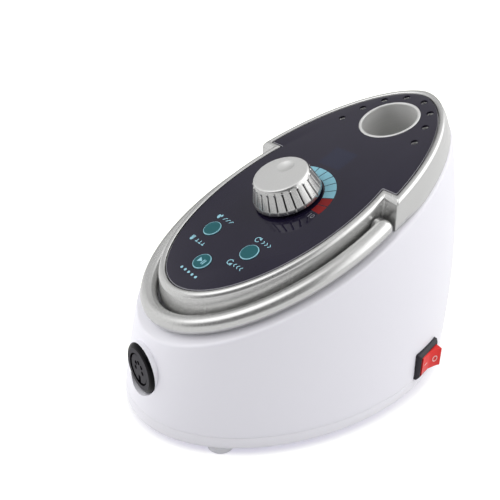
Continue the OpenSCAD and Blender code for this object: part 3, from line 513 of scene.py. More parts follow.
socket = {"z": 30.6, "seatY": -92.4198, "flangeR": 12.6, "recessR": 12.9, "bossR": 12.95, "bossDeep": 4.0,
          "barrelR": 8.6, "barrelLong": 19.0, "play": 0.3, "insertR": 7.5, "insertLong": 12.0, "insertIn": 0.4,
          "out": 1.95, "bevel": 1.5, "slant": 2.2, "groove": 0.7, "grooveDeep": 1.3}
socketPlace = Matrix.Translation((0, socket["seatY"], socket["z"])) @ Matrix.Rotation(math.pi / 2, 4, "X")
rockerSwitch = {"back": (60.1045, 35.3, 17.3), "turn": 15.5072, "size": (21.0, 15.0), "rim": 3.0, "gap": 0.3,
                "axis": 1.0, "cavity": (17.0, 8.5), "bodyDeep": 15.0, "bodyIn": 2.0}
switchPlace = Matrix.Translation(rockerSwitch["back"]) @ Matrix.Rotation(math.radians(rockerSwitch["turn"]), 4, "Z")
bay = {"half": 21.0, "high": 12.0, "floorY": 89.7683, "z": 33.0, "corner": 2.0, "inletX": -7.5, "inlet": (19.2, 11.0),
       "jackX": 12.5, "jackR": 4.85}
aimRear = Matrix.Rotation(math.pi / 2, 4, "X")


def makeHousing():
    deep = 40.0
    switchLong, switchHigh = (s + 2 * rockerSwitch["gap"] for s in rockerSwitch["size"])
    tools = [
        drum(socket["recessR"], 0, deep, socketPlace, steps=96),
        drum(socket["barrelR"] + socket["play"], -deep, 1, socketPlace),
        roundBox((deep, switchLong, switchHigh), 0.8, switchPlace @ Matrix.Translation((deep / 2, 0, 0))),
        roundBox((deep, switchLong - 2.4, switchHigh - 2.4), 0, switchPlace),
        roundBox((2 * bay["half"], deep, 2 * bay["high"]), bay["corner"],
                 Matrix.Translation((0, bay["floorY"] + deep / 2, bay["z"]))),
        roundBox((bay["inlet"][0], deep, bay["inlet"][1]), 0,
                 Matrix.Translation((bay["inletX"], bay["floorY"], bay["z"]))),
        drum(bay["jackR"], -deep / 2, deep / 2, Matrix.Translation((bay["jackX"], bay["floorY"], bay["z"])) @ aimRear)]
    body = carved(lofted(housingRings(), looped=True), *tools)
    # round seat that carries the socket where the flank falls away
    boss, hole, low = socket["bossR"], socket["barrelR"] + socket["play"], -socket["bossDeep"]
    seat = softened([(hole, 0, 0), (boss, 0, 0.3), (boss, low, 0), (hole, low, 0), (hole, 0, 0)])
    turned(seat, socketPlace, 96, body)
    addPiece("whiteHousing", body, [whiteShell], "unit", "white_shell", "main_housing")


makeHousing()
print("housing made")

underside = {"soft": 2.0, "gap": 0.06, "edge": 0.14, "lip": (2.9, 4.5, 13.8), "floor": 6.2,
             "posts": ((43.1832, 54.8826), (43.1832, -49.5635)), "feet": ((35.3265, 67.9504), (35.3265, -72.0504)),
             "ventY": -44.0, "vents": 5, "ventPitch": 7.0, "vent": (3.0, 30.0), "ventSoft": 0.9,
             "screwHole": ((0, 2.2), (3.7, 2.2), (3.3, 3.6), (3.3, 5.9), (1.5, 5.9), (1.5, 9), (0, 9)),
             "footSeat": (6.1, 2.2, 4.2), "footShift": (1.015, 1.01),
             "pad": ((0, 0, 0), (6.3, 0, 0.5), (6.6, 3.2, 0), (6.0, 4.2, 0), (0, 4.2, 0))}


def mirrored(places):
    return [(s * x, y) for x, y in places for s in (-1, 1)]


def makeBase():
    foot, top, soft, edge = shell["foot"], shell["seam"] - underside["gap"], underside["soft"], underside["edge"]
    rings = [flankRing(foot + soft * (1 - math.cos(a)), soft * (1 - math.sin(a))) for a in quarter(6)]
    lipOut, lipIn, lipTop = underside["lip"]
    rings += [flankRing(z, inset) for z, inset in (
        (top - edge, 0), (top - edge * 0.3, edge * 0.3), (top, edge), (top, lipOut), (lipTop, lipOut),
        (lipTop, lipIn), (underside["floor"], lipIn))]
    holes = bmesh.new()
    for x, y in mirrored(underside["posts"]):
        turned(underside["screwHole"], Matrix.Translation((x, y, 0)), 48, holes)
    for x, y in mirrored(underside["feet"]):
        drum(*underside["footSeat"], Matrix.Translation((x, y, 0)), holes)
    for i in range(underside["vents"]):
        x = (i - (underside["vents"] - 1) / 2) * underside["ventPitch"]
        there = Matrix.Translation((x, underside["ventY"], 5))
        roundBox((*underside["vent"], 8), underside["ventSoft"], there, into=holes)
    addPiece("basePlate", carved(lofted(rings), holes), [baseShell], "unit", "white_shell", "base_plate")
    feet = bmesh.new()
    shiftX, shiftY = underside["footShift"]
    for x, y in mirrored(underside["feet"]):
        turned(softened(underside["pad"]), Matrix.Translation((x * shiftX, y * shiftY, 0)), 64, feet)
    addPiece("rubberFeet", feet, [footRubber], "unit", "foot_rubber", "rubber_feet")


makeBase()
print("base made")

# silver bezel, dark panel and what is printed on it
crown = {"front": (40.8, 72.2), "rear": (48.66, 97.0), "taper": 1.142, "step": 26.3, "stepSoft": 0.7, "rim": 3.4,
         "rise": 0.5, "outerSoft": 2.1, "deep": 13.5, "wall": 2.4, "shelf": 3.0, "panelT": 2.0, "deckT": 2.0,
         "inner": ((1.05, 0.97), (0.75, 0.86), (0.45, 0.64), (0.2, 0.36), (0.06, 0.12)),
         "flush": 0.9, "bow": 0.7, "settle": (18.0, 48.0), "farthest": 9.0, "halvings": 14,
         "rearPoints": 150, "frontPoints": 190, "stepPoints": 6, "gap": 0.7, "edge": 0.3}
bits = {"places": ((25.7, 61.3), (21.9, 73.5), (15.9, 84.2), (6.0, 91.0)), "radius": 1.5, "deep": 12.0, "wall": 1.65,
        "liner": 0.35, "linerTop": -1.1}
keys = {"hand_foot": (-15.45, -37.6), "direction": (15.45, -37.6), "standby": (0.0, -54.7), "radius": 4.75,
        "hole": 4.95, "deckPlay": 0.8, "ringFrom": 4.3}
keyNames = ("hand_foot", "direction", "standby")
cup = {"v": 71.0, "radius": 14.5, "wall": 0.8, "rim": 1.5, "rise": 0.3, "deep": 42.0, "hole": 15.6}
knob = {"v": -0.5, "foot": 17.2, "top": 13.6, "high": 14.0, "lift": 1.6, "band": 2.0, "grooves": 24, "phase": 6.0,
        "grooveWide": 0.3, "grooveDeep": 0.95, "pip": 0.4, "dimple": (5.7, 115.0, 4.4, 0.9),
        "flat": 12.6, "hollow": (15.0, 2.4), "shaftHole": 3.6, "steps": 576, "topRows": 26, "sideRows": 34}


def onPanel(x, v):
    return panelPlace @ Matrix.Translation((x, v, 0))


def outline(grow, h=0.0, flare=0.0):
    # panel's outline: a narrow front oval, a wide rear oval and a step between them
    front = [c + grow for c in crown["front"]]
    rear = [c + grow for c in crown["rear"]]
    step, soft = crown["step"] - grow, crown["stepSoft"]

    def rearAt(t):
        # the rear oval runs a little to a point
        c = math.cos(t)
        return Vector((math.copysign(rear[0] * abs(c) ** crown["taper"], c), rear[1] * math.sin(t)))

    def frontAt(t):
        return Vector((front[0] * math.cos(t), front[1] * math.sin(t)))

    rearTurn, frontTurn = math.asin(step / rear[1]), math.asin(step / front[1])
    outer, inner = rearAt(rearTurn), frontAt(frontTurn)
    rearStart = rearTurn + soft / Vector((rear[0] * math.sin(rearTurn), rear[1] * math.cos(rearTurn))).length
    frontStart = frontTurn - soft / Vector((front[0] * math.sin(frontTurn), front[1] * math.cos(frontTurn))).length
    rearEnd, frontEnd = rearAt(rearStart), frontAt(frontStart)
    half = rounded(outer, rearEnd - outer, Vector((-soft, 0)))
    low = rounded(inner, Vector((soft, 0)), frontEnd - inner)
    half += [half[-1].lerp(low[0], k / crown["stepPoints"]) for k in range(1, crown["stepPoints"])] + low
    points = []
    for k in range(1, crown["rearPoints"]):
        points.append(rearAt(rearStart + (math.pi - 2 * rearStart) * k / crown["rearPoints"]))
    points += [Vector((-p.x, p.y)) for p in half]
    for k in range(1, crown["frontPoints"]):
        points.append(frontAt(math.pi - frontStart + (math.pi + 2 * frontStart) * k / crown["frontPoints"]))
    points += reversed(half)
    if flare:
        last = crown["rearPoints"] - 1
        corner = len(points) - 5
        points = [p + skirt(p) * flare if i < last or i >= corner else p for i, p in enumerate(points)]
    return [panelPlace @ Vector((p.x, p.y + h * lean, h)) for p in points]


def skirt(p):
    # how far the bezel's foot must lean out to meet the housing's flank
    out = Vector((p.x / crown["rear"][0] ** 2, p.y / crown["rear"][1] ** 2)).normalized()
    near, far = 0.0, crown["farthest"]
    for i in range(crown["halvings"]):
        reach = (near + far) / 2
        spot = p + out * reach
        there = panelPlace @ Vector((spot.x, spot.y - crown["deep"] * lean, -crown["deep"]))
        front, rear, half = (station(shell[k], there.z) - crown["flush"] for k in ("front", "rear", "half"))
        off = (there.y - (rear - front) / 2) / ((rear + front) / 2)
        near, far = (reach, far) if (there.x / half) ** 2 + off ** 2 < 1 else (near, reach)
    low, high = crown["settle"]
    share = clamp((p.y - low) / (high - low))
    return out * near * share ** 2 * (3 - 2 * share)


def panelHoles(keyR, bitR):
    # holes through panel and deck for the cup, the knob's shaft, the keys and the bits
    places = [(cup["hole"], (0, cup["v"]), 128), (knob["shaftHole"], (0, knob["v"]), 64)]
    places += [(keyR, keys[name], 64) for name in keyNames]
    places += [(bitR, place, 40) for place in mirrored(bits["places"])]
    holes = bmesh.new()
    for radius, place, steps in places:
        drum(radius, -6, 4, onPanel(*place), holes, steps)
    return holes


def makeBezel():
    rim, rise, deep, soft = crown["rim"], crown["rise"], crown["deep"], crown["outerSoft"]
    outer = [(rim - 0.3, -deep), (rim, -deep + 0.3)] + [(rim, -deep + 3 * k) for k in range(1, 5)]
    outer += [(rim - soft * (1 - math.cos(a)), rise - soft * (1 - math.sin(a))) for a in quarter(6)]
    # the rim's top falls to the panel's level at its inner edge
    inner = [(g, rise * share) for g, share in crown["inner"]] + [(0, -0.1)]
    shelf, hollow, under = -crown["shelf"], rim - crown["wall"], -crown["panelT"] - crown["deckT"]
    inner += [(0, -crown["panelT"]), (shelf, -crown["panelT"]), (shelf, under), (hollow, under), (hollow, -deep)]
    flareFrom = rise - soft
    rings = [outline(g, h, (max(0.0, flareFrom - h) / (deep + flareFrom)) ** crown["bow"]) for g, h in outer]
    body = lofted(rings + [outline(g, h) for g, h in inner], looped=True)
    deck = carved(lofted([outline(shelf / 2, -crown["panelT"] - 0.1), outline(shelf / 2, under + 0.1)]),
                  panelHoles(keys["hole"] + keys["deckPlay"], bits["radius"]))
    placed(deck, origin, body)
    r, low, top, shoulder = bits["radius"], -bits["deep"] - 1, bits["linerTop"], -crown["panelT"] - 0.05
    liner, wall = r + bits["liner"], r + bits["wall"]
    tube = softened([(0, -bits["deep"], 0), (r, -bits["deep"], 0), (r, top, 0.12), (liner, top, 0.12),
                     (liner, shoulder, 0), (wall, shoulder, 0), (wall, low, 0), (0, low, 0)], 3)
    solid = len(body.faces)
    for x, v in mirrored(bits["places"]):
        turned(tube, onPanel(x, v), 40, body)
    body.faces.ensure_lookup_table()
    for face in body.faces[solid:]:
        face.material_index = 1
    addPiece("silverBezel", body, [silverPaint, cupMetal], "unit", "silver_paint", "top_bezel")


def makePanel():
    gap, edge = crown["gap"], crown["edge"]
    rings = [outline(-gap, -crown["panelT"]), outline(-gap, -edge), outline(-gap - edge * 0.9, -edge * 0.08),
             outline(-gap - edge * 1.2, 0)]
    body = carved(lofted(rings), panelHoles(keys["hole"], bits["radius"] + bits["liner"] + 0.05))
    # painted highlight: the chamfer round the panel's edge gets a pale grey finish, a thin line that stands for light
    # caught on the polished edge
    repaint(body, panelPlace, lambda spot: -edge * 0.9 < spot.z < -edge * 0.1)
    addPiece("glossPanel", body, [panelGloss, panelEdgeHighlight], "unit", "panel_black", "control_panel")


makeBezel()
makePanel()
print("bezel and panel made")

dial = {"inner": 18.2, "outer": 24.0, "start": -3.0, "pitch": 14.4, "count": 13, "reds": 2, "split": 1.3, "ink": 0.03}


def sector(inner, outer, start, end, place, into, steps=10):
    # flat piece of a ring, a little thick
    bm = bmesh.new()
    ends = [bm.verts.new((r * math.cos(start), r * math.sin(start), 0)) for r in (inner, outer)]
    edge = bm.edges.new(ends)
    bmesh.ops.spin(bm, geom=ends + [edge], cent=(0, 0, 0), axis=(0, 0, 1), angle=end - start, steps=steps)
    return raised(bm, dial["ink"], place, into)


def stroke(start, end, wide, place, into):
    # straight printed line
    a, b = Vector(start), Vector(end)
    middle = (a + b) / 2
    turn = math.atan2(b.y - a.y, b.x - a.x)
    there = place @ Matrix.Translation((middle.x, middle.y, dial["ink"] / 2)) @ Matrix.Rotation(turn, 4, "Z")
    return roundBox(((b - a).length, wide, dial["ink"]), 0, there, into=into)


def dot(centre, radius, place, into, stretch=1.0, turn=0.0, steps=24):
    there = place @ Matrix.Translation((*centre, 0)) @ Matrix.Rotation(turn, 4, "Z")
    return drum(radius, 0, dial["ink"], there @ Matrix.Diagonal((1, stretch, 1, 1)), into, steps)


def lettered(words, size, place, into):
    # plain number or sign as a thin solid
    curve = bpy.data.curves.new("mark", "FONT")
    curve.body, curve.size, curve.extrude = words, size, dial["ink"] / 2
    curve.align_x, curve.align_y = "CENTER", "CENTER"
    holder = bpy.data.objects.new("mark", curve)
    bpy.context.scene.collection.objects.link(holder)
    bpy.context.view_layer.update()
    bm = bmesh.new()
    bm.from_mesh(holder.evaluated_get(bpy.context.evaluated_depsgraph_get()).to_mesh())
    bpy.data.objects.remove(holder)
    bpy.data.curves.remove(curve)
    return placed(bm, place @ Matrix.Translation((0, 0, dial["ink"] / 2)), into)


def makeDial():
    red, blue, grey = bmesh.new(), bmesh.new(), bmesh.new()
    centre = onPanel(0, knob["v"])
    for i in range(dial["count"]):
        start = math.radians(dial["start"] + dial["pitch"] * i)
        end = start + math.radians(dial["pitch"] - dial["split"])
        sector(dial["inner"], dial["outer"], start, end, centre, red if i < dial["reds"] else blue)
    lettered("10", 3.8, onPanel(21.4, -4.6), grey)
    for name, bm, ink in (("dialRed", red, redInk), ("dialBlue", blue, blueInk), ("dialNumber", grey, greyInk)):
        addPiece(name, bm, [ink], "unit", "panel_black")


def arrowRound(place, into, way):
    # open circle with an arrow head on its end
    sector(1.25, 1.7, math.radians(40), math.radians(330), place, into, 20)
    tip = place @ Matrix.Rotation(math.radians(40 if way > 0 else 330), 4, "Z")
    there = tip @ Matrix.Translation((1.48, 0, 0)) @ Matrix.Rotation(-way * math.pi / 2, 4, "Z")
    slab([(1.0, 0), (-0.6, 0.95), (-0.6, -0.95)], 0, dial["ink"], there, into)


def chevrons(place, into, way, count=3):
    for i in range(count):
        x = (i - (count - 1) / 2) * 2.3
        for y in (1.0, -1.0):
            stroke((x - 0.6 * way, y), (x + 0.4 * way, 0), 0.42, place, into)


def makeSigns():
    ink = bmesh.new()
    # pedal sign above the hand or foot key, finger sign below it
    pedal = onPanel(-19.8, -29.5)
    dot((-0.5, -0.35), 0.95, pedal, ink, 1.5, 0.4)
    dot((0.75, 0.75), 0.62, pedal, ink, 1.35, 0.4)
    palm = onPanel(-19.4, -47.2)
    dot((0, -0.6), 1.05, palm, ink, 1.1)
    for i in range(4):
        stroke((-0.8 + 0.53 * i, 0), (-1.0 + 0.66 * i, 1.75 - 0.25 * abs(i - 1.5)), 0.42, palm, ink)
    # three strokes in a row beside each sign
    lines = ((-16.4, -30.3, -15.2, -28.7), (-15.2, -28.7, -14.4, -28.7), (-16.2, -47.9, -14.4, -47.9),
             (-15.3, -47.9, -15.3, -46.2))
    for i in range(3):
        for x, y, endX, endY in lines:
            stroke((x + 2.6 * i, y), (endX + 2.6 * i, endY), 0.5, panelPlace, ink)
    arrowRound(onPanel(12.0, -29.6), ink, 1)
    chevrons(onPanel(18.4, -29.6), ink, 1)
    arrowRound(onPanel(12.4, -46.8), ink, -1)
    chevrons(onPanel(18.2, -46.8), ink, -1)
    for i in range(5):
        dot((-6.0 + 3.0 * i, -62.7), 0.75, panelPlace, ink)
    addPiece("panelSigns", ink, [paleInk], "unit", "panel_black")


makeDial()
makeSigns()
print("printing made")


def makeKeys():
    r = keys["radius"]
    profile = softened([(0, 0.56, 0), (3.9, 0.54, 0), (4.35, 0.5, 0), (r, 0.42, 0.25), (r, -2.3, 0), (5.5, -2.3, 0),
                        (5.5, -3.4, 0), (2.2, -3.4, 0), (2.2, -4.8, 0), (0, -4.8, 0)])
    for name in keyNames:
        place = onPanel(*keys[name])
        cap = turned(profile, place, 72)
        repaint(cap, place, lambda spot: spot.xy.length > keys["ringFrom"] and spot.z > -1)
        addPiece(name + "Key", cap, [keyTeal, paleInk], name, "key_teal", name + "_key")
    sign = bmesh.new()
    there = onPanel(*keys["standby"]) @ Matrix.Translation((0, 0, 0.56))
    slab([(-2.3, 1.45), (-2.3, -1.45), (0.25, 0)], 0, dial["ink"], there, sign)
    for x in (0.95, 2.05):
        stroke((x, -1.45), (x, 1.45), 0.55, there, sign)
    addPiece("standbySign", sign, [paleInk], "standby", "key_teal")


def makeKnob():
    foot, top, high, lift, band = knob["foot"], knob["top"], knob["high"], knob["lift"], knob["band"]
    sideLow, sideHigh = Vector((foot, lift + band)), Vector((top + 0.35, high - 1.0))
    flat, topRows, sideRows = knob["flat"], knob["topRows"], knob["sideRows"]
    profile = [Vector((flat * k / topRows, high)) for k in range(topRows + 1)]
    profile += softened([(flat, high, 0), (top - 0.25, high, 0.7), (*sideHigh, 0.5), (*sideLow, 0)], 6)[1:-1]
    profile += [sideHigh.lerp(sideLow, k / sideRows) for k in range(2, sideRows + 1)]
    hollowR, ceiling = knob["hollow"][0], lift + knob["hollow"][1]
    profile += softened([(*sideLow, 0), (foot + 0.1, lift, 0.5), (hollowR, lift, 0), (hollowR, ceiling, 0),
                         (0, ceiling, 0)])[1:]
    cap = turned(profile, origin, knob["steps"])
    pitch = math.tau / knob["grooves"]
    out, turn, dimpleR, dimpleDeep = knob["dimple"]
    dimpleAt = Vector((out * math.cos(math.radians(turn)), out * math.sin(math.radians(turn)), 0))

    def fromGroove(spot):
        # turn from the nearest groove
        turn = math.atan2(spot.y, spot.x) - math.radians(knob["phase"])
        return (turn + pitch / 2) % pitch - pitch / 2

    for vert in cap.verts:
        r, z = math.hypot(vert.co.x, vert.co.y), vert.co.z
        if r > 13 and lift + 0.9 < z < high - 0.6:
            off = fromGroove(vert.co)
            share = math.exp(-(off * r / knob["grooveWide"]) ** 2)
            ends = clamp((z - lift - 1.5) / 0.5) * clamp((high - 2.4 - z) / 0.4)
            # a small pip closes each groove at its top
            pip = knob["pip"] * math.exp(-(off * r / 0.45) ** 2 - ((z - high + 1.9) / 0.4) ** 2)
            sink = knob["grooveDeep"] * share * ends - pip
            vert.co.x -= sink * vert.co.x / r
            vert.co.y -= sink * vert.co.y / r
        elif z > high - 0.01:
            away = (vert.co - dimpleAt).xy.length / dimpleR
            if away < 1:
                vert.co.z -= dimpleDeep * (1 - away ** 2) ** 1.15
    # the top's faces get the top's finish; faces along each groove's floor get painted shade, a near-black finish
    for face in cap.faces:
        middle = face.calc_center_median()
        if math.hypot(middle.x, middle.y) < top and middle.z > high - 2.0:
            face.material_index = 1
        elif lift + 1.7 < middle.z < high - 2.5:
            face.material_index = 2 if abs(fromGroove(middle)) < 0.015 else 0
    placed(cap, onPanel(0, knob["v"]))
    addPiece("speedKnob", cap, [knobSide, knobTop, paintedGrooveShade], "knob", "silver_paint", "speed_knob", sharp=50)


def makeCup():
    r, outer, deep, rise = cup["radius"], cup["radius"] + cup["wall"], cup["deep"], cup["rise"]
    rim = r + cup["rim"]
    profile = softened([(0, -deep - 1, 0), (outer - 1, -deep - 1, 0.5), (outer, -deep, 0.5), (outer, 0, 0),
                        (rim, 0, 0), (rim, rise, 0.6), (r, rise, 0.6), (r, -deep, 1.2), (0, -deep, 0)])
    body = turned(profile, onPanel(0, cup["v"]), 128)
    addPiece("handpieceCup", body, [cupMetal], "unit", "cup_metal", "handpiece_cup")


makeKeys()
makeKnob()
makeCup()
print("keys, knob and cup made")

grip = {"half": 49.3, "reach": 81.1006, "drop": 9.05, "radius": 4.2, "pivotUp": 16.8602, "bossX": 44.15, "bossR": 3.7,
        "steps": 170, "sides": 32, "capSteps": 8}


def makeHandle():
    half, reach, drop, radius = grip["half"], grip["reach"], grip["drop"], grip["radius"]
    pivotTurn = math.asin(grip["pivotUp"] / reach)
    first, last = -math.pi - pivotTurn, pivotTurn

    def ring(turn, shift, r):
        along = Vector((-half * math.sin(turn), reach * math.cos(turn))).normalized()
        x, v = half * math.cos(turn) + along.x * shift, reach * math.sin(turn) - drop * lean + along.y * shift
        points = []
        for k in range(grip["sides"]):
            a = math.tau * k / grip["sides"]
            side = r * math.cos(a)
            points.append(panelPlace @ Vector((x - along.y * side, v + along.x * side, -drop + r * math.sin(a))))
        return points

    ends = [(radius * math.cos(a), radius * math.sin(a)) for a in
            (math.pi / 2 * (k + 0.25) / grip["capSteps"] for k in range(grip["capSteps"]))]
    rings = [ring(first, -shift, r) for shift, r in ends]
    rings += [ring(first + (last - first) * k / grip["steps"], 0, radius) for k in range(grip["steps"] + 1)]
    rings += [ring(last, shift, r) for shift, r in reversed(ends)]
    bar = lofted(rings)
    pivotX = half * math.cos(pivotTurn)
    hinge = onPanel(0, grip["pivotUp"] - drop * lean) @ Matrix.Translation((0, 0, -drop))
    for side in (-1, 1):
        drum(grip["bossR"], grip["bossX"], pivotX, hinge @ Matrix.Rotation(side * math.pi / 2, 4, "Y"), bar)
    addPiece("carryHandle", bar, [silverPaint], "handle", "silver_paint", "carry_handle")


makeHandle()
print("handle made")

pins = {"count": 5, "ring": 3.4, "start": -12.0, "sweep": 51.0, "radius": 1.15, "deep": 5.0, "key": (2.2, 4.2),
        "keyAt": -5.9}


def makeSocket():
    r, out, bevel, slant = socket["flangeR"], socket["out"], socket["bevel"], socket["slant"]
    hole, groove = socket["insertR"], socket["insertR"] + socket["groove"]
    barrel, end, step = socket["barrelR"], -socket["barrelLong"], out - socket["grooveDeep"]
    profile = softened([(hole, end, 0), (barrel, end, 0), (barrel, 0, 0), (r, 0, 0), (r, out - bevel, 0.3),
                        (r - slant * 0.35, out - bevel * 0.35, 0.7), (r - slant, out, 0.35), (groove, out, 0.1),
                        (groove, step, 0), (hole, step, 0), (hole, end, 0)])
    flange = turned(profile, origin, 96)
    repaint(flange, origin, lambda spot: spot.xy.length > r - slant or spot.z < out - 0.05)
    placed(flange, socketPlace)
    addPiece("socketFlange", flange, [socketFace, socketGloss], "unit", "black_plastic", "handpiece_socket")
    face, end, snug = out - socket["insertIn"], -socket["insertLong"], hole - 0.1
    holes = bmesh.new()
    for i in range(pins["count"]):
        turn = math.radians(pins["start"] + pins["sweep"] * i)
        there = Matrix.Translation((pins["ring"] * math.cos(turn), pins["ring"] * math.sin(turn), 0))
        drum(pins["radius"], face - pins["deep"], face + 1, there, holes, 24)
    roundBox((*pins["key"], 6), 0.3, Matrix.Translation((0, pins["keyAt"], face - 1)), into=holes)
    blank = softened([(0, end, 0), (snug, end, 0), (snug, face, 0.25), (0, face, 0)])
    plug = carved(turned(blank, origin, 96), holes)
    placed(plug, socketPlace)
    addPiece("socketInsert", plug, [socketFace], "unit", "black_plastic", "socket_insert")


def roundedRect(x, long, high, corner):
    # upright rectangle with round corners, facing along x
    ring = []
    for i, (sy, sz) in enumerate(((1, 1), (-1, 1), (-1, -1), (1, -1))):
        for k in range(6):
            a = math.pi / 2 * (i + k / 5)
            ring.append(switchPlace @ Vector((x, sy * (long / 2 - corner) + corner * math.cos(a),
                                              sz * (high / 2 - corner) + corner * math.sin(a))))
    return ring


def makeSwitch():
    long, high = rockerSwitch["size"]
    rim, axis = rockerSwitch["rim"], rockerSwitch["axis"]
    cavityLong, cavityDeep = rockerSwitch["cavity"]
    wide = (long - cavityLong) / 2
    # inset from the frame's edge and height above its back: side, sloping face, inner edge, well
    profile = softened([(0, 0, 0), (0, rim - 1.2, 0.35), (wide - 0.55, rim, 0.3), (wide, rim, 0.14),
                        (wide, axis - cavityDeep, 0)], 4)
    less = rockerSwitch["bodyIn"]
    rings = [roundedRect(x, long - less, high - less, 0.4) for x in (-rockerSwitch["bodyDeep"], 0)]
    rings += [roundedRect(x, long - 2 * inset, high - 2 * inset, max(0.35, 0.9 - inset * 0.3)) for inset, x in profile]
    addPiece("switchFrame", lofted(rings), [blackPlastic], "unit", "black_plastic", "switch_body")
    makeRocker()


tilt = {"angle": 12.0, "radius": 8.2, "halfHigh": 5.2, "valley": 2.6, "tip": (4.1553, 7.3168), "dip": 2.2, "soft": 0.35}


def makeRocker():
    tipX, tipY = tilt["tip"]
    hinge = switchPlace @ Matrix.Translation((rockerSwitch["axis"], 0, 0))
    hinge = hinge @ Matrix.Rotation(-math.radians(tilt["angle"]), 4, "Z")
    points = [(-tilt["dip"], -7.9), (0, -tilt["radius"]), (tipX, -tipY)]
    for k in range(1, 10):
        y = -tipY + 2 * tipY * k / 10
        share = abs(y) / tipY
        hollow = 0.45 * math.sin(math.pi * share)
        points.append((tilt["valley"] + (tipX - tilt["valley"]) * share - hollow * share, y))
    points += [(tipX, tipY), (0, tilt["radius"]), (-tilt["dip"], 7.9)]
    body = slab(points, -tilt["halfHigh"], tilt["halfHigh"], origin)
    rimEdges = [e for e in body.edges
                if all(v.co.x > 0.5 for v in e.verts) and abs(e.verts[0].co.z - e.verts[1].co.z) < 0.1]
    bmesh.ops.bevel(body, geom=rimEdges, offset=tilt["soft"], affect="EDGES", segments=3, profile=0.5, material=-1)
    placed(body, hinge)
    addPiece("switchRocker", body, [rockerRed], "rocker", "rocker_red", "switch_rocker")
    marks = bmesh.new()
    lie = math.atan2(tipX - tilt["valley"], tipY)
    for side in (-1, 1):
        # frame on one face of the rocker: x along the face, y up, z out of it
        out = Vector((math.cos(lie), -side * math.sin(lie), 0))
        along = Vector((math.sin(lie) * side, math.cos(lie), 0))
        centre = Vector(((tilt["valley"] + tipX) / 2 - 0.05, side * tipY / 2, 0))
        face = Matrix.Translation(centre) @ Matrix((along, Vector((0, 0, 1)), out)).transposed().to_4x4()
        if side < 0:
            stroke((-1.5, 0), (1.5, 0), 0.6, hinge @ face, marks)
        else:
            sector(1.1, 1.65, 0, math.tau, hinge @ face @ Matrix.Diagonal((1, 1.1, 1, 1)), marks, 40)
    addPiece("rockerMarks", marks, [markPink], "rocker", "rocker_red")


makeSocket()
makeSwitch()
print("socket and switch made")

# finishes of the solids that stay as they are
kept = {
    blackPlastic: "mains_inlet pedal_jack tact_switches", contactDark: "socket_contacts",
    contactBrass: "switch_terminals", sinkMetal: "heat_sink",
    steel: "inlet_pins jack_nut socket_nut pot_nut pot_shaft handle_pins board_screws bezel_screws base_screws "
           "clamp_screws power_board_screws transformer_clamp",
    potCase: "potentiometer", displayGlass: "speed_display", boardGreen: "control_board power_board",
    coreSteel: "transformer_core", coilCopper: "transformer_coil", capSleeve: "smoothing_capacitor"}
for finish, names in kept.items():
    for name in names.split():
        nodes[name].data.materials.clear()
        nodes[name].data.materials.append(finish.material)
print("solids finished")

# floor, light and camera
studio = {"floorHalf": 6.0, "shade": (0.56, 0.58, 0.46, 1.0), "glow": (0.44, 0.42, 0.55, 1.0), "fade": (0.96, 1.15),
          "print": (0.0665, 0.0955), "white": (1.0, 1.0, 1.0, 1.0), "black": (0.0, 0.0, 0.0, 1.0),
          "bounce": (0.72, 0.72, 0.73, 1.0), "room": 0.14, "dusk": 0.35, "horizon": (0.02, 0.2),
          "right": (0.58, 0.81, 0.0), "haze": (0.0, 0.55), "boxes": (
              {"way": (0.6, 0.75, 0.4), "level": 1.97, "edge": 0.5, "core": 0.95, "sheen": 1.1},
              {"way": (-0.7, -0.7, 0.2), "level": 2.72, "edge": 0.58, "core": 0.97, "sheen": 0.3},
              {"way": (-0.1, -0.5, 0.86), "level": 0.5, "edge": 0.88, "core": 0.97, "sheen": 3.2},
              {"way": (-0.2, 0.3, 1.0), "level": 0.62, "edge": 0.4, "core": 1.0, "sheen": 1.0})}


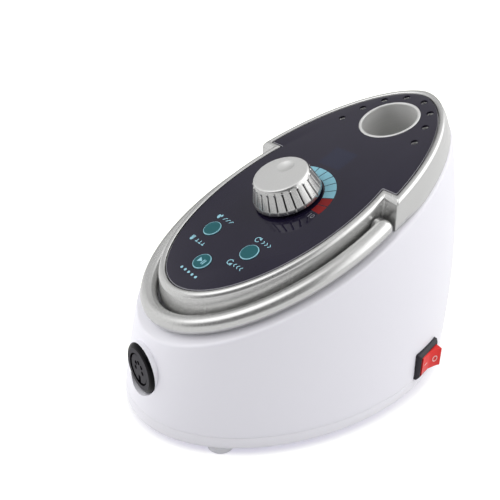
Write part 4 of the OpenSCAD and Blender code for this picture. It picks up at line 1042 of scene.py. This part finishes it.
def makeFloor():
    bm = bmesh.new()
    bmesh.ops.create_grid(bm, x_segments=1, y_segments=1, size=studio["floorHalf"])
    floor = asObject("floor", bm)
    finish = Finish("paleFloor", {"Roughness": 1.0, "Specular IOR Level": 0.0})
    lens, mirror = finish.rays("Camera"), finish.rays("Glossy", "Transmission")
    # close to the object the floor takes its shadow, further out it is plain white
    flat = finish.stretched(finish.spot(), (1 / studio["print"][0], 1 / studio["print"][1], 0.0))
    away = finish.ramp(finish.node("VectorMath", {"operation": "LENGTH"}, {0: flat}, "Value"), *studio["fade"])
    glow = finish.mixed(finish.maths("MAXIMUM", away, mirror), studio["glow"], studio["white"])
    shade = finish.mixed(mirror, finish.mixed(lens, studio["bounce"], studio["shade"]), studio["black"])
    finish.feed({"Base Color": shade, "Emission Strength": 1.0,
                 "Emission Color": finish.mixed(finish.maths("MAXIMUM", lens, mirror), studio["black"], glow)})
    floor.data.materials.append(finish.material)


def makeWorld():
    # a dim room with soft boxes: behind on the right, in front on the left and two overhead
    world = bpy.data.worlds.new("studio")
    bpy.context.scene.world = world
    world.use_nodes = True
    sky = Graph(world.node_tree)
    way = sky.node("TexCoord", {}, {}, "Generated")
    level, mirror = studio["room"], sky.rays("Glossy", "Transmission")
    for box in studio["boxes"]:
        aim = Vector(box["way"]).normalized()
        facing = sky.node("VectorMath", {"operation": "DOT_PRODUCT"}, {0: way, 1: aim}, "Value")
        seen = box["level"] * (1 - mirror * (1 - box["sheen"]))
        level = level + seen * sky.ramp(facing, box["edge"], box["core"])
    # the lens sees plain white; metal and glass see white near the horizon on the right, and dusk on the left
    height = sky.node("SeparateXYZ", {}, {0: way}, "Z")
    side = sky.node("VectorMath", {"operation": "DOT_PRODUCT"}, {0: way, 1: studio["right"]}, "Value")
    haze = studio["dusk"] + (1 - studio["dusk"]) * sky.ramp(side, *studio["haze"])
    low = mirror * (1 - sky.ramp(height, *studio["horizon"]))
    white = sky.maths("MAXIMUM", sky.rays("Camera"), low * haze)
    plain = world.node_tree.nodes["Background"]
    plain.inputs["Color"].default_value = (1.0, 1.0, 1.0, 1.0)
    sky.plug(plain.inputs["Strength"], level * (1 - white) + white)


def makeCamera():
    lens = {"place": (0.23258, -0.19772, 0.22289), "look": (-0.71977, 0.51828, -0.46186), "length": 47.97}
    data = bpy.data.cameras.new("camera")
    data.lens, data.sensor_width, data.sensor_fit = lens["length"], 36.0, "HORIZONTAL"
    data.clip_start, data.clip_end = 0.01, 50.0
    camera = bpy.data.objects.new("camera", data)
    camera.location = lens["place"]
    camera.rotation_euler = Vector(lens["look"]).to_track_quat("-Z", "Y").to_euler()
    bpy.context.scene.collection.objects.link(camera)
    bpy.context.scene.camera = camera


makeFloor()
makeWorld()
makeCamera()
bpy.context.scene.view_settings.view_transform = "Standard"
print("studio made")
